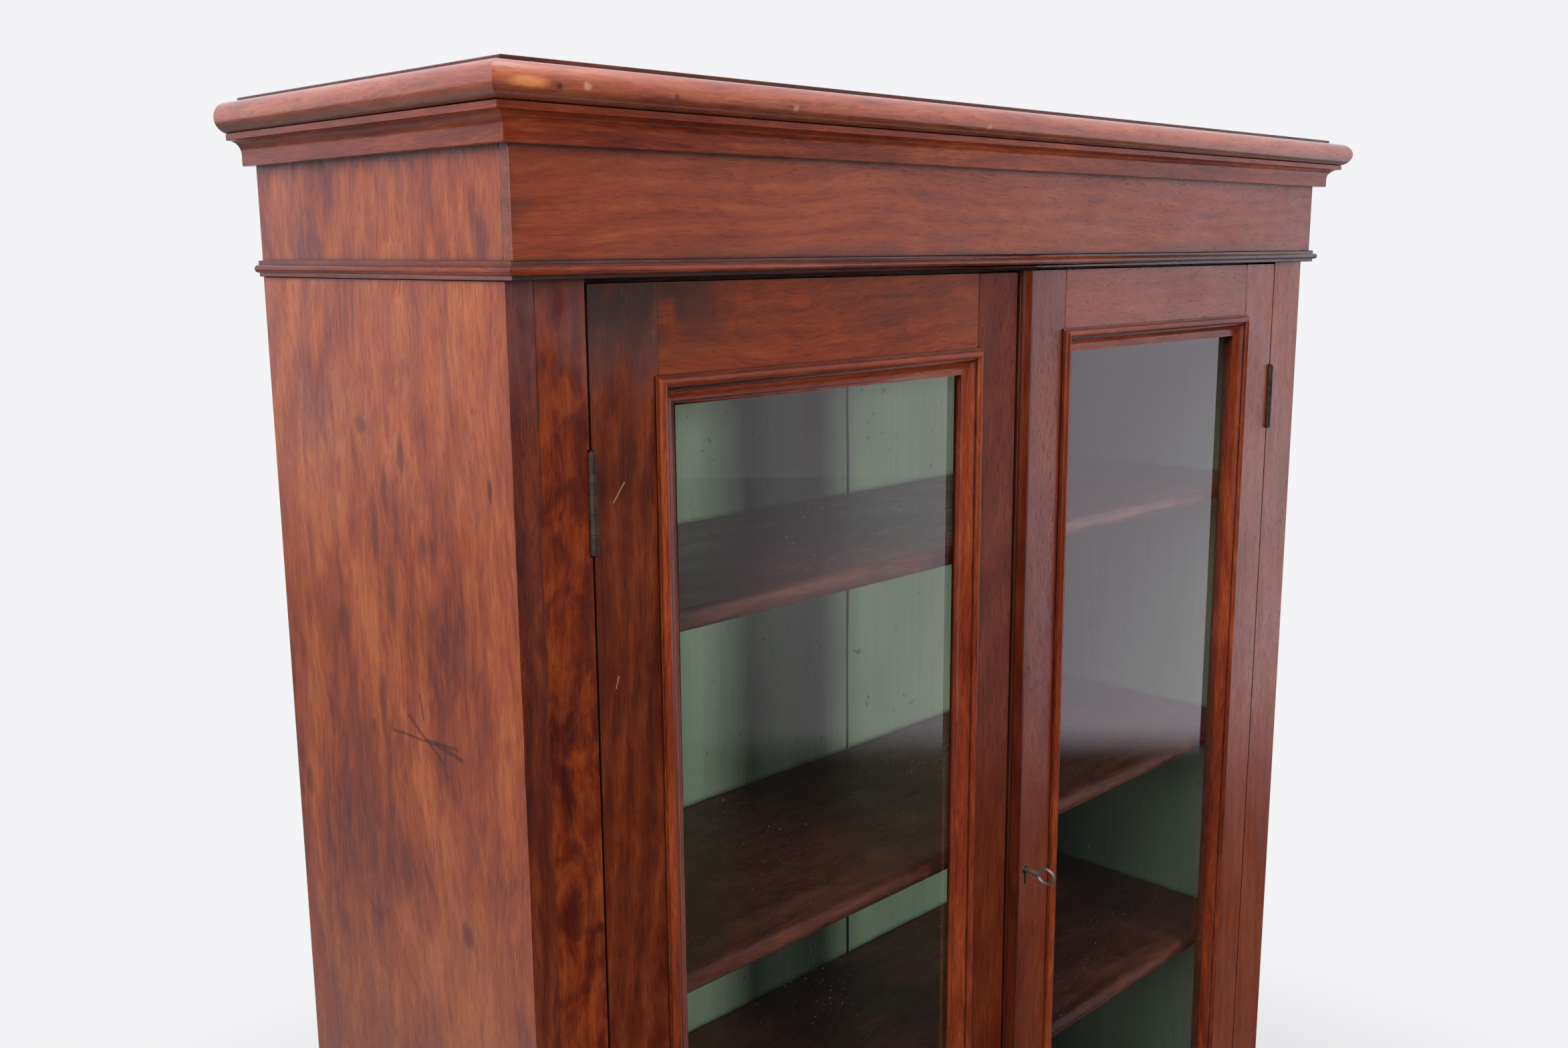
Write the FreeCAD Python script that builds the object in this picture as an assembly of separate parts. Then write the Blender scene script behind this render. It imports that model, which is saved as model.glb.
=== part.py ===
import FreeCAD, Part
import math
import os

# Two-door glazed cabinet with a lift-off cap, in millimetres.
# X runs to the right, Y to the back, Z up. The origin is the middle of the footprint, on the floor.

V = FreeCAD.Vector
RIGHT = V(1, 0, 0)
BACK = V(0, 1, 0)
UP = V(0, 0, 1)

# Carcass
case_w = 1090.0
case_d = 323.0
carcass_h = 1566.8
side_t = 21.0
board_t = 18.0
stile_w = 41.0
stile_t = 22.0
back_t = 14.0
back_inset = 5.0
rebate_w = 10.0
back_joint_gap = 3.5
back_lap = 8.0
back_lap_gap = 0.5
back_joint_shares = (0.171, 0.341, 0.6, 0.851)

# Plinth
plinth_h = 97.5
plinth_t = 16.0
plinth_step = 2.0
plinth_fillet_h = 4.0
plinth_cove_r = 11.0
plinth_bead_r = 2.0
plinth_neck = 3.0
sill_rise = 3.0

# Shelves, on bearers fixed to the sides
shelf_t = 18.0
shelf_set_back = 34.0
shelf_play = 0.5
shelf_top_shares = (0.2414, 0.4548, 0.6311, 0.8382)
bearer_w = 14.0
bearer_h = 20.0
bearer_front_gap = 14.0
bearer_back_gap = 4.0

# Lift-off cap
cap_lead = 9.0
frieze_t = 10.0
frieze_h = 70.5
cap_side_t = 20.0
cap_ground_t = 20.0
cap_rail_t = 18.0
cap_top_t = 12.0
cap_top_rise = 4.0
cap_top_proj = 11.0

# Cornice, from the bottom up: fascia, cove, fillet, bullnose
fascia_h = 9.0
fascia_proj = 10.5
cove_h = 9.5
cove_step = 1.5
fillet_h = 4.9
fillet_proj = 22.0
bullnose_r = 11.55
bullnose_proj = 30.5

# Astragal under the frieze
astragal_top_h = 3.2
astragal_top_proj = 3.2
astragal_bead_r = 3.0
astragal_bead_step = 0.8
astragal_low_h = 3.0
astragal_low_proj = 3.0

# Glue blocks and door stops
block_w = 30.0
block_h = 25.0
stop_len = 60.0
stop_w = 12.0
stop_h = 10.0
stop_place_share = 0.45
stop_gap = 0.6

# Doors
door_t = 24.0
door_side_gap = 2.0
meeting_gap = 5.0
left_top_gap = 3.5
right_top_gap = 2.1
door_clear = 5.5
left_hinge_stile_w = 60.0
left_meeting_stile_w = 56.0
left_top_rail_h = 68.0
right_hinge_stile_w = 62.0
right_meeting_stile_w = 70.5
right_top_rail_h = 58.0
bottom_rail_h = 92.0
tenon_t = 8.0
tenon_len = 34.0
tenon_shoulder = 12.0
tenon_play = 0.2
meeting_bead_r = 7.0

# Glazing: bolection moulding in front of the glass, beads behind it
mould_w = 22.0
mould_lap = 4.0
mould_edge_h = 1.5
mould_edge_w = 1.5
mould_bead_w = 7.0
mould_bead_rise = 4.5
mould_step_w = 2.0
mould_step_drop = 3.5
mould_cove_w = 8.5
mould_lip_drop = 4.0
glass_set_back = 11.5
glass_t = 3.0
glass_play = 1.5
bead_w = 9.0

# Butt hinges
hinge_h = 70.0
hinge_drop = 114.5
hinge_lead = 1.2
knuckle_r = 3.0
knuckle_gap = 0.3
knuckle_clear = 0.3
knuckle_count = 5
leaf_w = 20.0
leaf_t = 1.6
leaf_gap = 0.4
pin_r = 1.5
pin_fit = 0.05
pin_tail = 0.8
leaf_screws = 3
leaf_screw_edge = 10.0
leaf_screw_back = 7.0

# Countersunk screws
screw_head_r = 2.5
screw_shank_r = 1.3
screw_head_h = 1.3
screw_len = 11.0
screw_fit = 0.08
keep_screw_len = 24.0
slot_w = 0.6
slot_depth = 0.5

# Lock in the right door
key_backset = 28.5
key_drop = 576.0
keyhole_r = 3.8
keyhole_slot_w = 3.6
keyhole_depth = 15.5
escutcheon_rim = 1.3
escutcheon_depth = 3.0
lock_w = 48.5
lock_depth = 13.0
lock_wall = 1.5
lock_fit = 0.3
lock_below = 17.5
lock_roof = 1.8
selvedge_t = 2.0
selvedge_lug = 7.0
bolt_rise = 16.0
bolt_h = 8.0
bolt_t = 7.0
bolt_len = 37.0
bolt_in = 0.5
bolt_throw = 10.0
strike_t = 1.5
mortise_spare = 4.5

# Key
shank_r = 2.3
shank_out = 16.0
shank_end_gap = 0.5
shank_fit = 0.3
bow_half_h = 9.4
bow_half_w = 7.2
bow_r = 1.8
bow_sink = 0.9
bit_r = 14.5
bit_t = 1.8
bit_len = 5.5
collar_r = 3.2
collar_len = 2.2
collar_out = 1.5

# Bolts at the top and the bottom of the left door
rod_r = 3.0
rod_fit = 0.3
rod_len = 94.0
rod_off = 7.0
rod_place = 27.0
rod_travel = 12.0
rod_gap = 1.0
plate_w = 20.0
plate_len = 80.0
plate_t = 1.5
plate_end_gap = 4.0
guide_w = 13.0
guide_len = 10.0
guide_wall = 2.0
knob_r = 3.0
knob_out = 10.0
knob_back = 64.0
plate_screw_edge = 16.0
keep_w = 18.0
keep_spare = 2.0
keep_fit = 0.6
keep_door_gap = 1.0
keep_back = 5.0

overrun = 5.0
same_place = 1e-9

# Places that follow from the sizes above
half_w = case_w / 2
back_y = (case_d + cap_lead + bullnose_proj) / 2
face_y = back_y - case_d
frieze_y = face_y - cap_lead
door_back_y = face_y + door_t
stop_y = door_back_y + stop_gap
back_board_y = back_y - back_inset - back_t
inner_x = half_w - side_t
opening_x = inner_x - stile_w
plinth_top = plinth_h + plinth_fillet_h + plinth_cove_r + 2 * plinth_bead_r
sill_z = plinth_top + sill_rise
ceiling_z = carcass_h - board_t
astragal_h = astragal_top_h + 2 * astragal_bead_r + astragal_low_h
fascia_z = carcass_h + astragal_h + frieze_h
bullnose_z = fascia_z + fascia_h + cove_h + fillet_h
cap_top_z = bullnose_z + 2 * bullnose_r + cap_top_rise
cap_board_z = cap_top_z - cap_top_t
door_h = carcass_h - sill_z - door_clear
hinge_x = opening_x - door_side_gap / 2
hinge_y = face_y - hinge_lead
knuckle_h = (hinge_h - (knuckle_count - 1) * knuckle_gap) / knuckle_count
hinge_bottoms = (sill_z + hinge_drop, carcass_h - hinge_drop - hinge_h)
left_door_z = carcass_h - left_top_gap - door_h
right_door_z = carcass_h - right_top_gap - door_h
shelf_tops = [sill_z + share * (ceiling_z - sill_z) for share in shelf_top_shares]
key_x = meeting_gap / 2 + key_backset
key_z = carcass_h - key_drop
lock_x = meeting_gap / 2
lock_y = door_back_y - lock_depth
lock_top = bolt_rise + bolt_h + lock_roof
mortise_depth = bolt_throw - bolt_in - meeting_gap + mortise_spare
rod_x = -(meeting_gap / 2 + rod_place)
rod_y = door_back_y + rod_off
keep_h = rod_travel + keep_spare
keep_hole = rod_r + keep_fit


def box(x0, x1, y0, y1, z0, z1):
    """Box between two places on each axis, in either order."""
    low = V(min(x0, x1), min(y0, y1), min(z0, z1))
    return Part.makeBox(abs(x1 - x0), abs(y1 - y0), abs(z1 - z0), low)


def fused(shapes):
    """One solid from shapes that meet."""
    first = shapes[0]
    return first.multiFuse(shapes[1:]).removeSplitter() if len(shapes) > 1 else first


def mirrored(shape):
    """The same shape on the other side of the cabinet's middle."""
    return shape.mirror(V(0, 0, 0), RIGHT)


def write(name, shapes):
    """Write one node; a group of separate solids is one compound."""
    solids = shapes if isinstance(shapes, list) else [shapes]
    shape = solids[0] if len(solids) == 1 else Part.makeCompound(solids)
    shape.exportStep("parts/" + name + ".step")


def turn(centre, radius, start, end):
    """Arc step of an outline: its middle and end point, between two angles in degrees."""
    places = []
    for angle in ((start + end) / 2, end):
        turned = math.radians(angle)
        places.append((centre[0] + radius * math.cos(turned), centre[1] + radius * math.sin(turned)))
    return tuple(places)


def face(outline, origin, across, out):
    """Flat face from an outline of points and arc steps, laid out along two directions."""
    def place(point):
        return origin + across * point[0] + out * point[1]
    edges = []
    last = outline[0]
    for step in outline[1:] + [outline[0]]:
        if isinstance(step[0], tuple):
            edges.append(Part.Arc(place(last), place(step[0]), place(step[1])).toShape())
            last = step[1]
        elif math.dist(step, last) > same_place * case_w:
            edges.append(Part.LineSegment(place(last), place(step)).toShape())
            last = step
    return Part.Face(Part.Wire(edges))


def prism(outline, origin, across, out, along):
    return face(outline, origin, across, out).extrude(along)


def surround(outline, reach, half, front, back, z):
    """A moulding along the front and both sides, mitred at the front corners.

    The outline runs out from the faces at x = -half, x = half and y = front, up from z.
    """
    far = half + reach
    length = 2 * far
    front_run = prism(outline, V(-far, front, z), -BACK, UP, RIGHT * length)
    side_run = prism(outline, V(-half, back, z), -RIGHT, UP, -BACK * (back - front + reach))
    low = z - length
    trim = [(-half, front), (half, front), (far, front - reach), (-far, front - reach)]
    front_trim = prism(trim, V(0, 0, low), RIGHT, BACK, UP * (2 * length))
    trim = [(-half, back), (-half, front), (-far, front - reach), (-far, back)]
    side_trim = prism(trim, V(0, 0, low), RIGHT, BACK, UP * (2 * length))
    left = side_run.common(side_trim)
    return front_run.common(front_trim), left, mirrored(left)


def frame_of(outline, width, x0, x1, z0, z1, y):
    """Four mitred lengths round an upright rectangle.

    The outline runs in from the rectangle's edge, and forward from y.
    """
    corners = [(x0, z0, RIGHT, UP, x1 - x0), (x1, z0, UP, -RIGHT, z1 - z0)]
    corners += [(x1, z1, -RIGHT, -UP, x1 - x0), (x0, z1, -UP, RIGHT, z1 - z0)]
    lengths = []
    for x, z, along, inward, length in corners:
        run = prism(outline, V(x, y, z), inward, -BACK, along * length)
        trim = [(0, 0), (length, 0), (length - width, width), (width, width)]
        depth = door_t + overrun
        keep = prism(trim, V(x, y - depth, z), along, inward, BACK * (2 * depth))
        lengths.append(run.common(keep))
    return lengths


def screw(at, axis, length=screw_len):
    """Countersunk screw with its slotted head flush at a point."""
    head = Part.makeCone(screw_head_r, screw_shank_r, screw_head_h, at, axis)
    shank = Part.makeCylinder(screw_shank_r, length, at, axis)
    slot = Part.makeBox(2 * screw_head_r, slot_w, slot_depth)
    slot.translate(V(-screw_head_r, -slot_w / 2, 0))
    slot.Placement = FreeCAD.Placement(at, FreeCAD.Rotation(UP, axis)).multiply(slot.Placement)
    return head.fuse(shank).cut(slot)


def screw_hole(at, axis, length=screw_len):
    head = Part.makeCone(screw_head_r + screw_fit, screw_shank_r + screw_fit, screw_head_h, at, axis)
    shank = Part.makeCylinder(screw_shank_r + screw_fit, length + screw_fit, at, axis)
    return head.fuse(shank)


def drilled(shape, places):
    """The shape with a hole for the screw at each place."""
    for place in places:
        shape = shape.cut(screw_hole(*place))
    return shape


def keyhole(rim, y0, y1):
    """Round hole for the shank with a slot below it for the bit, from y0 back to y1."""
    bow = Part.makeCylinder(keyhole_r + rim, y1 - y0, V(key_x, y0, key_z), BACK)
    half_slot = keyhole_slot_w / 2 + rim
    slot = box(key_x - half_slot, key_x + half_slot, y0, y1, key_z - keyhole_depth - rim, key_z)
    return bow.fuse(slot).removeSplitter()


def carcass():
    low = sill_z - board_t
    side = box(-half_w, -inner_x, face_y, back_y, 0, carcass_h)
    rebate = box(-inner_x - rebate_w, -inner_x, back_board_y, back_y, low, carcass_h)
    side = side.cut(rebate)
    write("side_panel_left", side)
    write("side_panel_right", mirrored(side))
    top = box(-inner_x, inner_x, stop_y, back_board_y, ceiling_z, carcass_h)
    bottom = box(-inner_x, inner_x, face_y, back_board_y, low, sill_z)
    write("carcass_top", drilled(top, keep_screws()))
    write("carcass_bottom", drilled(bottom, keep_screws()))
    stile = box(-inner_x, -opening_x, face_y, face_y + stile_t, sill_z, carcass_h)
    for cut in hinge_cuts(-1):
        stile = stile.cut(cut)
    write("front_stile_left", stile)
    write("front_stile_right", mirrored(stile))


def back_boards():
    """Lapped upright boards; the laps close the open joints that show inside."""
    left = -inner_x - rebate_w
    width = -2 * left
    joints = [left + share * width for share in back_joint_shares]
    low = sill_z - board_t
    middle_y = back_board_y + back_t / 2
    far_y = back_y - back_inset
    boards = []
    for start, end in zip([None] + joints, joints + [None]):
        front0 = left if start is None else start + back_joint_gap / 2
        front1 = -left if end is None else end - back_joint_gap / 2
        rear0 = left if start is None else start + back_lap
        rear1 = -left if end is None else end + back_lap - back_lap_gap
        front = box(front0, front1, back_board_y, middle_y, low, carcass_h)
        rear = box(rear0, rear1, middle_y, far_y, low, carcass_h)
        boards.append(fused([front, rear]))
    write("back_boards", boards)


def plinth():
    far = half_w + plinth_t
    write("plinth_front", box(-far, far, face_y - plinth_t, face_y, 0, plinth_h))
    side = box(-far, -half_w, face_y, back_y, 0, plinth_h)
    write("plinth_side_left", side)
    write("plinth_side_right", mirrored(side))
    reach = plinth_t + plinth_step
    neck = plinth_neck + plinth_bead_r
    cove_x = neck + plinth_cove_r
    outline = [(0, 0), (reach, 0), (reach, plinth_fillet_h), (cove_x, plinth_fillet_h)]
    cove_top = plinth_fillet_h + plinth_cove_r
    outline.append(turn((cove_x, cove_top), plinth_cove_r, 270, 180))
    outline.append(turn((neck, cove_top + plinth_bead_r), plinth_bead_r, -90, 90))
    outline.append((0, cove_top + 2 * plinth_bead_r))
    write("plinth_mouldings", list(surround(outline, reach, half_w, face_y, back_y, plinth_h)))


def shelves():
    front = face_y + shelf_set_back
    half_len = inner_x - shelf_play
    depth = back_board_y - shelf_play - front
    nose = shelf_t / 2
    outline = [(nose, 0), (depth, 0), (depth, shelf_t), (nose, shelf_t)]
    outline.append(turn((nose, nose), nose, 90, 270))
    bearers = []
    for number, top in enumerate(shelf_tops, 1):
        low = top - shelf_t
        run = prism(outline, V(-half_len, front, low), BACK, UP, RIGHT * (2 * half_len))
        write("shelf_" + str(number), run)
        bearer = box(-inner_x, -inner_x + bearer_w, front + bearer_front_gap,
                     back_board_y - bearer_back_gap, low - bearer_h, low)
        bearers += [bearer, mirrored(bearer)]
    write("shelf_bearers", bearers)


def cap():
    inner = half_w - cap_side_t
    side_y = frieze_y + frieze_t
    ground_y = side_y + cap_ground_t
    write("frieze_front", box(-half_w, half_w, frieze_y, side_y, carcass_h, cap_board_z))
    side = box(-half_w, -inner, side_y, back_y, carcass_h, cap_board_z)
    write("frieze_side_left", side)
    write("frieze_side_right", mirrored(side))
    ground = box(-inner, inner, side_y, ground_y, carcass_h, cap_board_z)
    rail = box(-inner, inner, back_y - cap_rail_t, back_y, carcass_h, cap_board_z)
    write("cap_rails", [ground, rail])
    far = half_w + cap_top_proj
    write("cap_top_board", box(-far, far, frieze_y - cap_top_proj, back_y, cap_board_z, cap_top_z))
    cornice()
    astragal()


def cornice():
    cove_x = fillet_proj - cove_step
    cove_z = fascia_h + cove_h
    cove_mid = (fascia_proj + (cove_x - fascia_proj) * (1 - math.sqrt(0.5)),
                cove_z - cove_h * (1 - math.sqrt(0.5)))
    lower = [(0, 0), (fascia_proj, 0), (fascia_proj, fascia_h), (cove_mid, (cove_x, cove_z))]
    lower += [(fillet_proj, cove_z), (fillet_proj, cove_z + fillet_h), (0, cove_z + fillet_h)]
    nose_x = bullnose_proj - bullnose_r
    seat_z = cap_board_z - bullnose_z
    upper = [(0, 0), (nose_x, 0), turn((nose_x, bullnose_r), bullnose_r, -90, 90)]
    upper += [(cap_top_proj, 2 * bullnose_r), (cap_top_proj, seat_z), (0, seat_z)]
    places = (("cornice_cove_", lower, fillet_proj, fascia_z),
              ("cornice_bullnose_", upper, bullnose_proj, bullnose_z))
    for name, outline, reach, z in places:
        runs = surround(outline, reach, half_w, frieze_y, back_y, z)
        for side, run in zip(("front", "left", "right"), runs):
            write(name + side, run)


def astragal():
    bead_z = astragal_low_h + astragal_bead_r
    bead_x = astragal_low_proj + astragal_bead_step
    top_z = bead_z + astragal_bead_r
    outline = [(0, 0), (astragal_low_proj, 0), (astragal_low_proj, astragal_low_h)]
    outline += [(bead_x, astragal_low_h), turn((bead_x, bead_z), astragal_bead_r, -90, 90)]
    outline += [(astragal_top_proj, top_z), (astragal_top_proj, top_z + astragal_top_h)]
    outline.append((0, top_z + astragal_top_h))
    reach = bead_x + astragal_bead_r
    write("astragal_mouldings", list(surround(outline, reach, half_w, frieze_y, back_y, carcass_h)))


def blocks():
    """Glue blocks in the corners of the plinth and the cap, and two stops for the doors."""
    low = sill_z - board_t
    solids = []
    for y in (face_y, back_board_y - block_w):
        solids.append(box(-inner_x, -inner_x + block_w, y, y + block_w, low - 2 * block_w, low))
    inner = half_w - cap_side_t
    ground_y = frieze_y + frieze_t + cap_ground_t
    for y in (ground_y, back_y - cap_rail_t - block_w):
        solids.append(box(-inner, -inner + block_w, y, y + block_w, carcass_h, carcass_h + block_h))
    stop_x = -opening_x * stop_place_share
    solids.append(box(stop_x - stop_len / 2, stop_x + stop_len / 2, stop_y, stop_y + stop_w,
                      sill_z, sill_z + stop_h))
    write("glue_blocks_and_stops", solids + [mirrored(solid) for solid in solids])


def hinge_cuts(side):
    """Seats of both hinges in the stile (side -1) or in the door's edge (side 1) on the left."""
    cuts = []
    near = -hinge_x + side * leaf_gap / 2
    for low in hinge_bottoms:
        cuts.append(box(near, near + side * leaf_t, hinge_y, hinge_y + leaf_w, low, low + hinge_h))
        tail = 2 * pin_tail
        cuts.append(Part.makeCylinder(knuckle_r + knuckle_clear, hinge_h + 2 * tail,
                                      V(-hinge_x, hinge_y, low - tail), UP))
        cuts += [screw_hole(at, axis) for at, axis in hinge_screws(side, low)]
    return cuts


def hinge_screws(side, low):
    """Head places and directions of one leaf's screws."""
    near = -hinge_x + side * leaf_gap / 2
    y = hinge_y + leaf_w - leaf_screw_back
    step = (hinge_h - 2 * leaf_screw_edge) / (leaf_screws - 1)
    heights = [low + leaf_screw_edge + number * step for number in range(leaf_screws)]
    return [(V(near, y, z), RIGHT * side) for z in heights]


def hinge_leaf(side, low):
    """One leaf of a left hinge; the frame leaf (side -1) has the outer knuckles."""
    near = -hinge_x + side * leaf_gap / 2
    leaf = box(near, near + side * leaf_t, hinge_y, hinge_y + leaf_w, low, low + hinge_h)
    axis = V(-hinge_x, hinge_y, low)
    own_first = 0 if side < 0 else 1
    pitch = knuckle_h + knuckle_gap
    for number in range(knuckle_count):
        foot = axis + UP * (number * pitch)
        if number % 2 == own_first:
            leaf = leaf.fuse(Part.makeCylinder(knuckle_r, knuckle_h, foot, UP))
        else:
            room = Part.makeCylinder(knuckle_r + knuckle_clear, knuckle_h + 2 * knuckle_gap,
                                     foot - UP * knuckle_gap, UP)
            leaf = leaf.cut(room)
    bore = Part.makeCylinder(pin_r + pin_fit, hinge_h + 2 * overrun, axis - UP * overrun, UP)
    leaf = leaf.cut(bore)
    return drilled(leaf, hinge_screws(side, low)).removeSplitter()


def hinges():
    """Leaves, pins and screws; the right side mirrors the left."""
    frame_leaves = [hinge_leaf(-1, low) for low in hinge_bottoms]
    door_leaves = [hinge_leaf(1, low) for low in hinge_bottoms]
    pins = [Part.makeCylinder(pin_r, hinge_h + 2 * pin_tail, V(-hinge_x, hinge_y, low - pin_tail), UP)
            for low in hinge_bottoms]
    write("hinge_frame_leaves", frame_leaves + [mirrored(leaf) for leaf in frame_leaves])
    write("hinge_pins", pins + [mirrored(pin) for pin in pins])
    write("left_door_hinge_leaves", door_leaves)
    write("right_door_hinge_leaves", [mirrored(leaf) for leaf in door_leaves])
    frame_screws = [screw(*place) for low in hinge_bottoms for place in hinge_screws(-1, low)]
    frame_screws += [mirrored(one) for one in frame_screws]
    frame_screws += [screw(*place) for place in keep_screws()]
    write("carcass_screws", frame_screws)
    door_screws = [screw(*place) for low in hinge_bottoms for place in hinge_screws(1, low)]
    write("left_door_screws", door_screws + [screw(*place) for place in plate_screws() + strike_screws()])
    right_screws = [mirrored(one) for one in door_screws] + [screw(*place) for place in lock_screws()]
    write("right_door_screws", right_screws)


def door_frame(name, x0, x1, low, left_w, right_w, top_h, cuts):
    """Two full-height stiles and two rails tenoned into them, with the glazing they hold."""
    high = low + door_h
    left = box(x0, x0 + left_w, face_y, door_back_y, low, high)
    right = box(x1 - right_w, x1, face_y, door_back_y, low, high)
    in0 = x0 + left_w
    in1 = x1 - right_w
    tenon_y = (face_y + door_back_y - tenon_t) / 2
    rails = []
    for z0, z1 in ((low, low + bottom_rail_h), (high - top_h, high)):
        body = box(in0, in1, face_y, door_back_y, z0, z1)
        t0 = z0 + tenon_shoulder
        t1 = z1 - tenon_shoulder
        tenon = box(in0 - tenon_len, in1 + tenon_len, tenon_y, tenon_y + tenon_t, t0, t1)
        rails.append(fused([body, tenon]))
        play = tenon_play
        mortise = box(in0 - tenon_len - play, in1 + tenon_len + play, tenon_y - play,
                      tenon_y + tenon_t + play, t0 - play, t1 + play)
        left = left.cut(mortise)
        right = right.cut(mortise)
    for cut in cuts:
        left = left.cut(cut)
        right = right.cut(cut)
        rails = [rail.cut(cut) for rail in rails]
    write(name + "_bottom_rail", rails[0])
    write(name + "_top_rail", rails[1])
    glazing(name, in0, in1, low + bottom_rail_h, high - top_h)
    return left, right


def glazing(name, x0, x1, z0, z1):
    """Mitred moulding in front, the pane, and the beads that hold it from behind."""
    bead_x = mould_edge_w + mould_bead_w
    bead_z = mould_edge_h + mould_bead_rise
    low_z = bead_z - mould_step_drop
    step_x = bead_x + mould_step_w
    cove_x = step_x + mould_cove_w
    cove_mid = (step_x + mould_cove_w * (1 - math.sqrt(0.5)),
                -mould_lip_drop + (low_z + mould_lip_drop) * (1 - math.sqrt(0.5)))
    half_bead = mould_bead_w / 2
    outline = [(mould_lap, 0), (0, 0), (0, mould_edge_h), (mould_edge_w, mould_edge_h)]
    rise = bead_z - mould_edge_h
    shoulder = half_bead * (1 - math.sqrt(0.5))
    outline.append(((mould_edge_w + shoulder, mould_edge_h + rise * math.sqrt(0.5)),
                    (mould_edge_w + half_bead, bead_z)))
    fall = bead_z - low_z
    outline.append(((bead_x - shoulder, low_z + fall * math.sqrt(0.5)), (bead_x, low_z)))
    outline.append((step_x, low_z))
    outline.append((cove_mid, (cove_x, -mould_lip_drop)))
    outline += [(mould_w, -mould_lip_drop), (mould_w, -glass_set_back), (mould_lap, -glass_set_back)]
    lap = mould_lap
    mouldings = frame_of(outline, mould_w, x0 - lap, x1 + lap, z0 - lap, z1 + lap, face_y)
    write(name + "_glazing_moulding", mouldings)
    glass_y = face_y + glass_set_back
    play = glass_play
    write(name + "_glass", box(x0 + play, x1 - play, glass_y, glass_y + glass_t, z0 + play, z1 - play))
    bead_y = glass_y + glass_t
    bead_t = door_back_y - bead_y
    round_r = min(bead_w, bead_t)
    outline = [(0, 0), (0, -bead_t), (bead_w - round_r, -bead_t)]
    outline.append(turn((bead_w - round_r, round_r - bead_t), round_r, -90, 0))
    outline.append((bead_w, 0))
    write(name + "_glass_beads", frame_of(outline, bead_w, x0, x1, z0, z1, bead_y))


def left_door():
    x0 = -opening_x + door_side_gap
    x1 = -meeting_gap / 2
    cuts = [screw_hole(*place) for place in plate_screws() + strike_screws()]
    z0 = key_z + bolt_rise - lock_fit
    z1 = key_z + bolt_rise + bolt_h + lock_fit
    mid_y = lock_y + lock_depth / 2
    half_t = bolt_t / 2 + lock_fit
    mortise = box(x1 - mortise_depth, x1 + overrun, mid_y - half_t, mid_y + half_t, z0, z1)
    plate = box(x1 - strike_t, x1, lock_y, door_back_y, z0 - selvedge_lug, z1 + selvedge_lug)
    stiles = door_frame("left_door", x0, x1, left_door_z, left_hinge_stile_w, left_meeting_stile_w,
                        left_top_rail_h, hinge_cuts(1) + cuts)
    write("left_door_hinge_stile", stiles[0])
    write("left_door_meeting_stile", stiles[1].cut(mortise).cut(plate))
    write("lock_strike_plate", drilled(plate.cut(mortise), strike_screws()))


def strike_screws():
    x = -meeting_gap / 2
    low = key_z + bolt_rise - lock_fit - selvedge_lug / 2
    high = key_z + bolt_rise + bolt_h + lock_fit + selvedge_lug / 2
    return [(V(x, lock_y + lock_depth / 2, z), -RIGHT) for z in (low, high)]


def lock_screws():
    low = key_z - lock_below - selvedge_lug / 2
    high = key_z + lock_top + selvedge_lug / 2
    return [(V(lock_x, lock_y + lock_depth / 2, z), RIGHT) for z in (low, high)]


def lock_block():
    """Outside of the lock case with its selvedge, which is also the pocket in the stile."""
    case = box(lock_x, lock_x + lock_w, lock_y, door_back_y, key_z - lock_below, key_z + lock_top)
    selvedge = box(lock_x, lock_x + selvedge_t, lock_y, door_back_y,
                   key_z - lock_below - selvedge_lug, key_z + lock_top + selvedge_lug)
    return fused([case, selvedge])


def right_door():
    x0 = meeting_gap / 2
    x1 = opening_x - door_side_gap
    stiles = door_frame("right_door", x0, x1, right_door_z, right_meeting_stile_w,
                        right_hinge_stile_w, right_top_rail_h, [mirrored(cut) for cut in hinge_cuts(1)])
    meeting = stiles[0].cut(lock_block())
    meeting = meeting.cut(keyhole(0, face_y - overrun, door_back_y))
    meeting = meeting.cut(keyhole(escutcheon_rim, face_y, face_y + escutcheon_depth))
    write("right_door_meeting_stile", drilled(meeting, lock_screws()))
    write("right_door_hinge_stile", stiles[1])
    outer = keyhole(escutcheon_rim, face_y, face_y + escutcheon_depth)
    write("keyhole_escutcheon", outer.cut(keyhole(0, face_y - overrun, face_y + overrun)))
    r = meeting_bead_r
    outline = [(0, 0), turn((r, 0), r, 180, 90), turn((r, 0), r, 90, 0)]
    bead = prism(outline, V(x0, face_y, right_door_z), RIGHT, -BACK, UP * door_h)
    write("right_door_meeting_bead", bead)


def lock():
    """Hollow case let into the stile, with a bolt above the circle that the bit sweeps."""
    wall = lock_wall
    case = lock_block()
    inside = box(lock_x + selvedge_t, lock_x + lock_w - wall, lock_y + wall, door_back_y - wall,
                 key_z - lock_below + wall, key_z + lock_top - wall)
    mid_y = lock_y + lock_depth / 2
    half_t = bolt_t / 2
    z0 = key_z + bolt_rise
    z1 = z0 + bolt_h
    slot = box(lock_x - overrun, lock_x + selvedge_t + overrun, mid_y - half_t - lock_fit,
               mid_y + half_t + lock_fit, z0 - lock_fit, z1 + lock_fit)
    case = case.cut(inside).cut(slot)
    case = case.cut(keyhole(0, lock_y - overrun, lock_y + wall + overrun))
    nose = Part.makeCylinder(shank_r + shank_fit, 2 * overrun, V(key_x, door_back_y - overrun, key_z), BACK)
    write("lock_case", drilled(case.cut(nose), lock_screws()))
    x0 = lock_x + bolt_in
    write("lock_bolt", box(x0, x0 + bolt_len, mid_y - half_t, mid_y + half_t, z0, z1))


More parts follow.
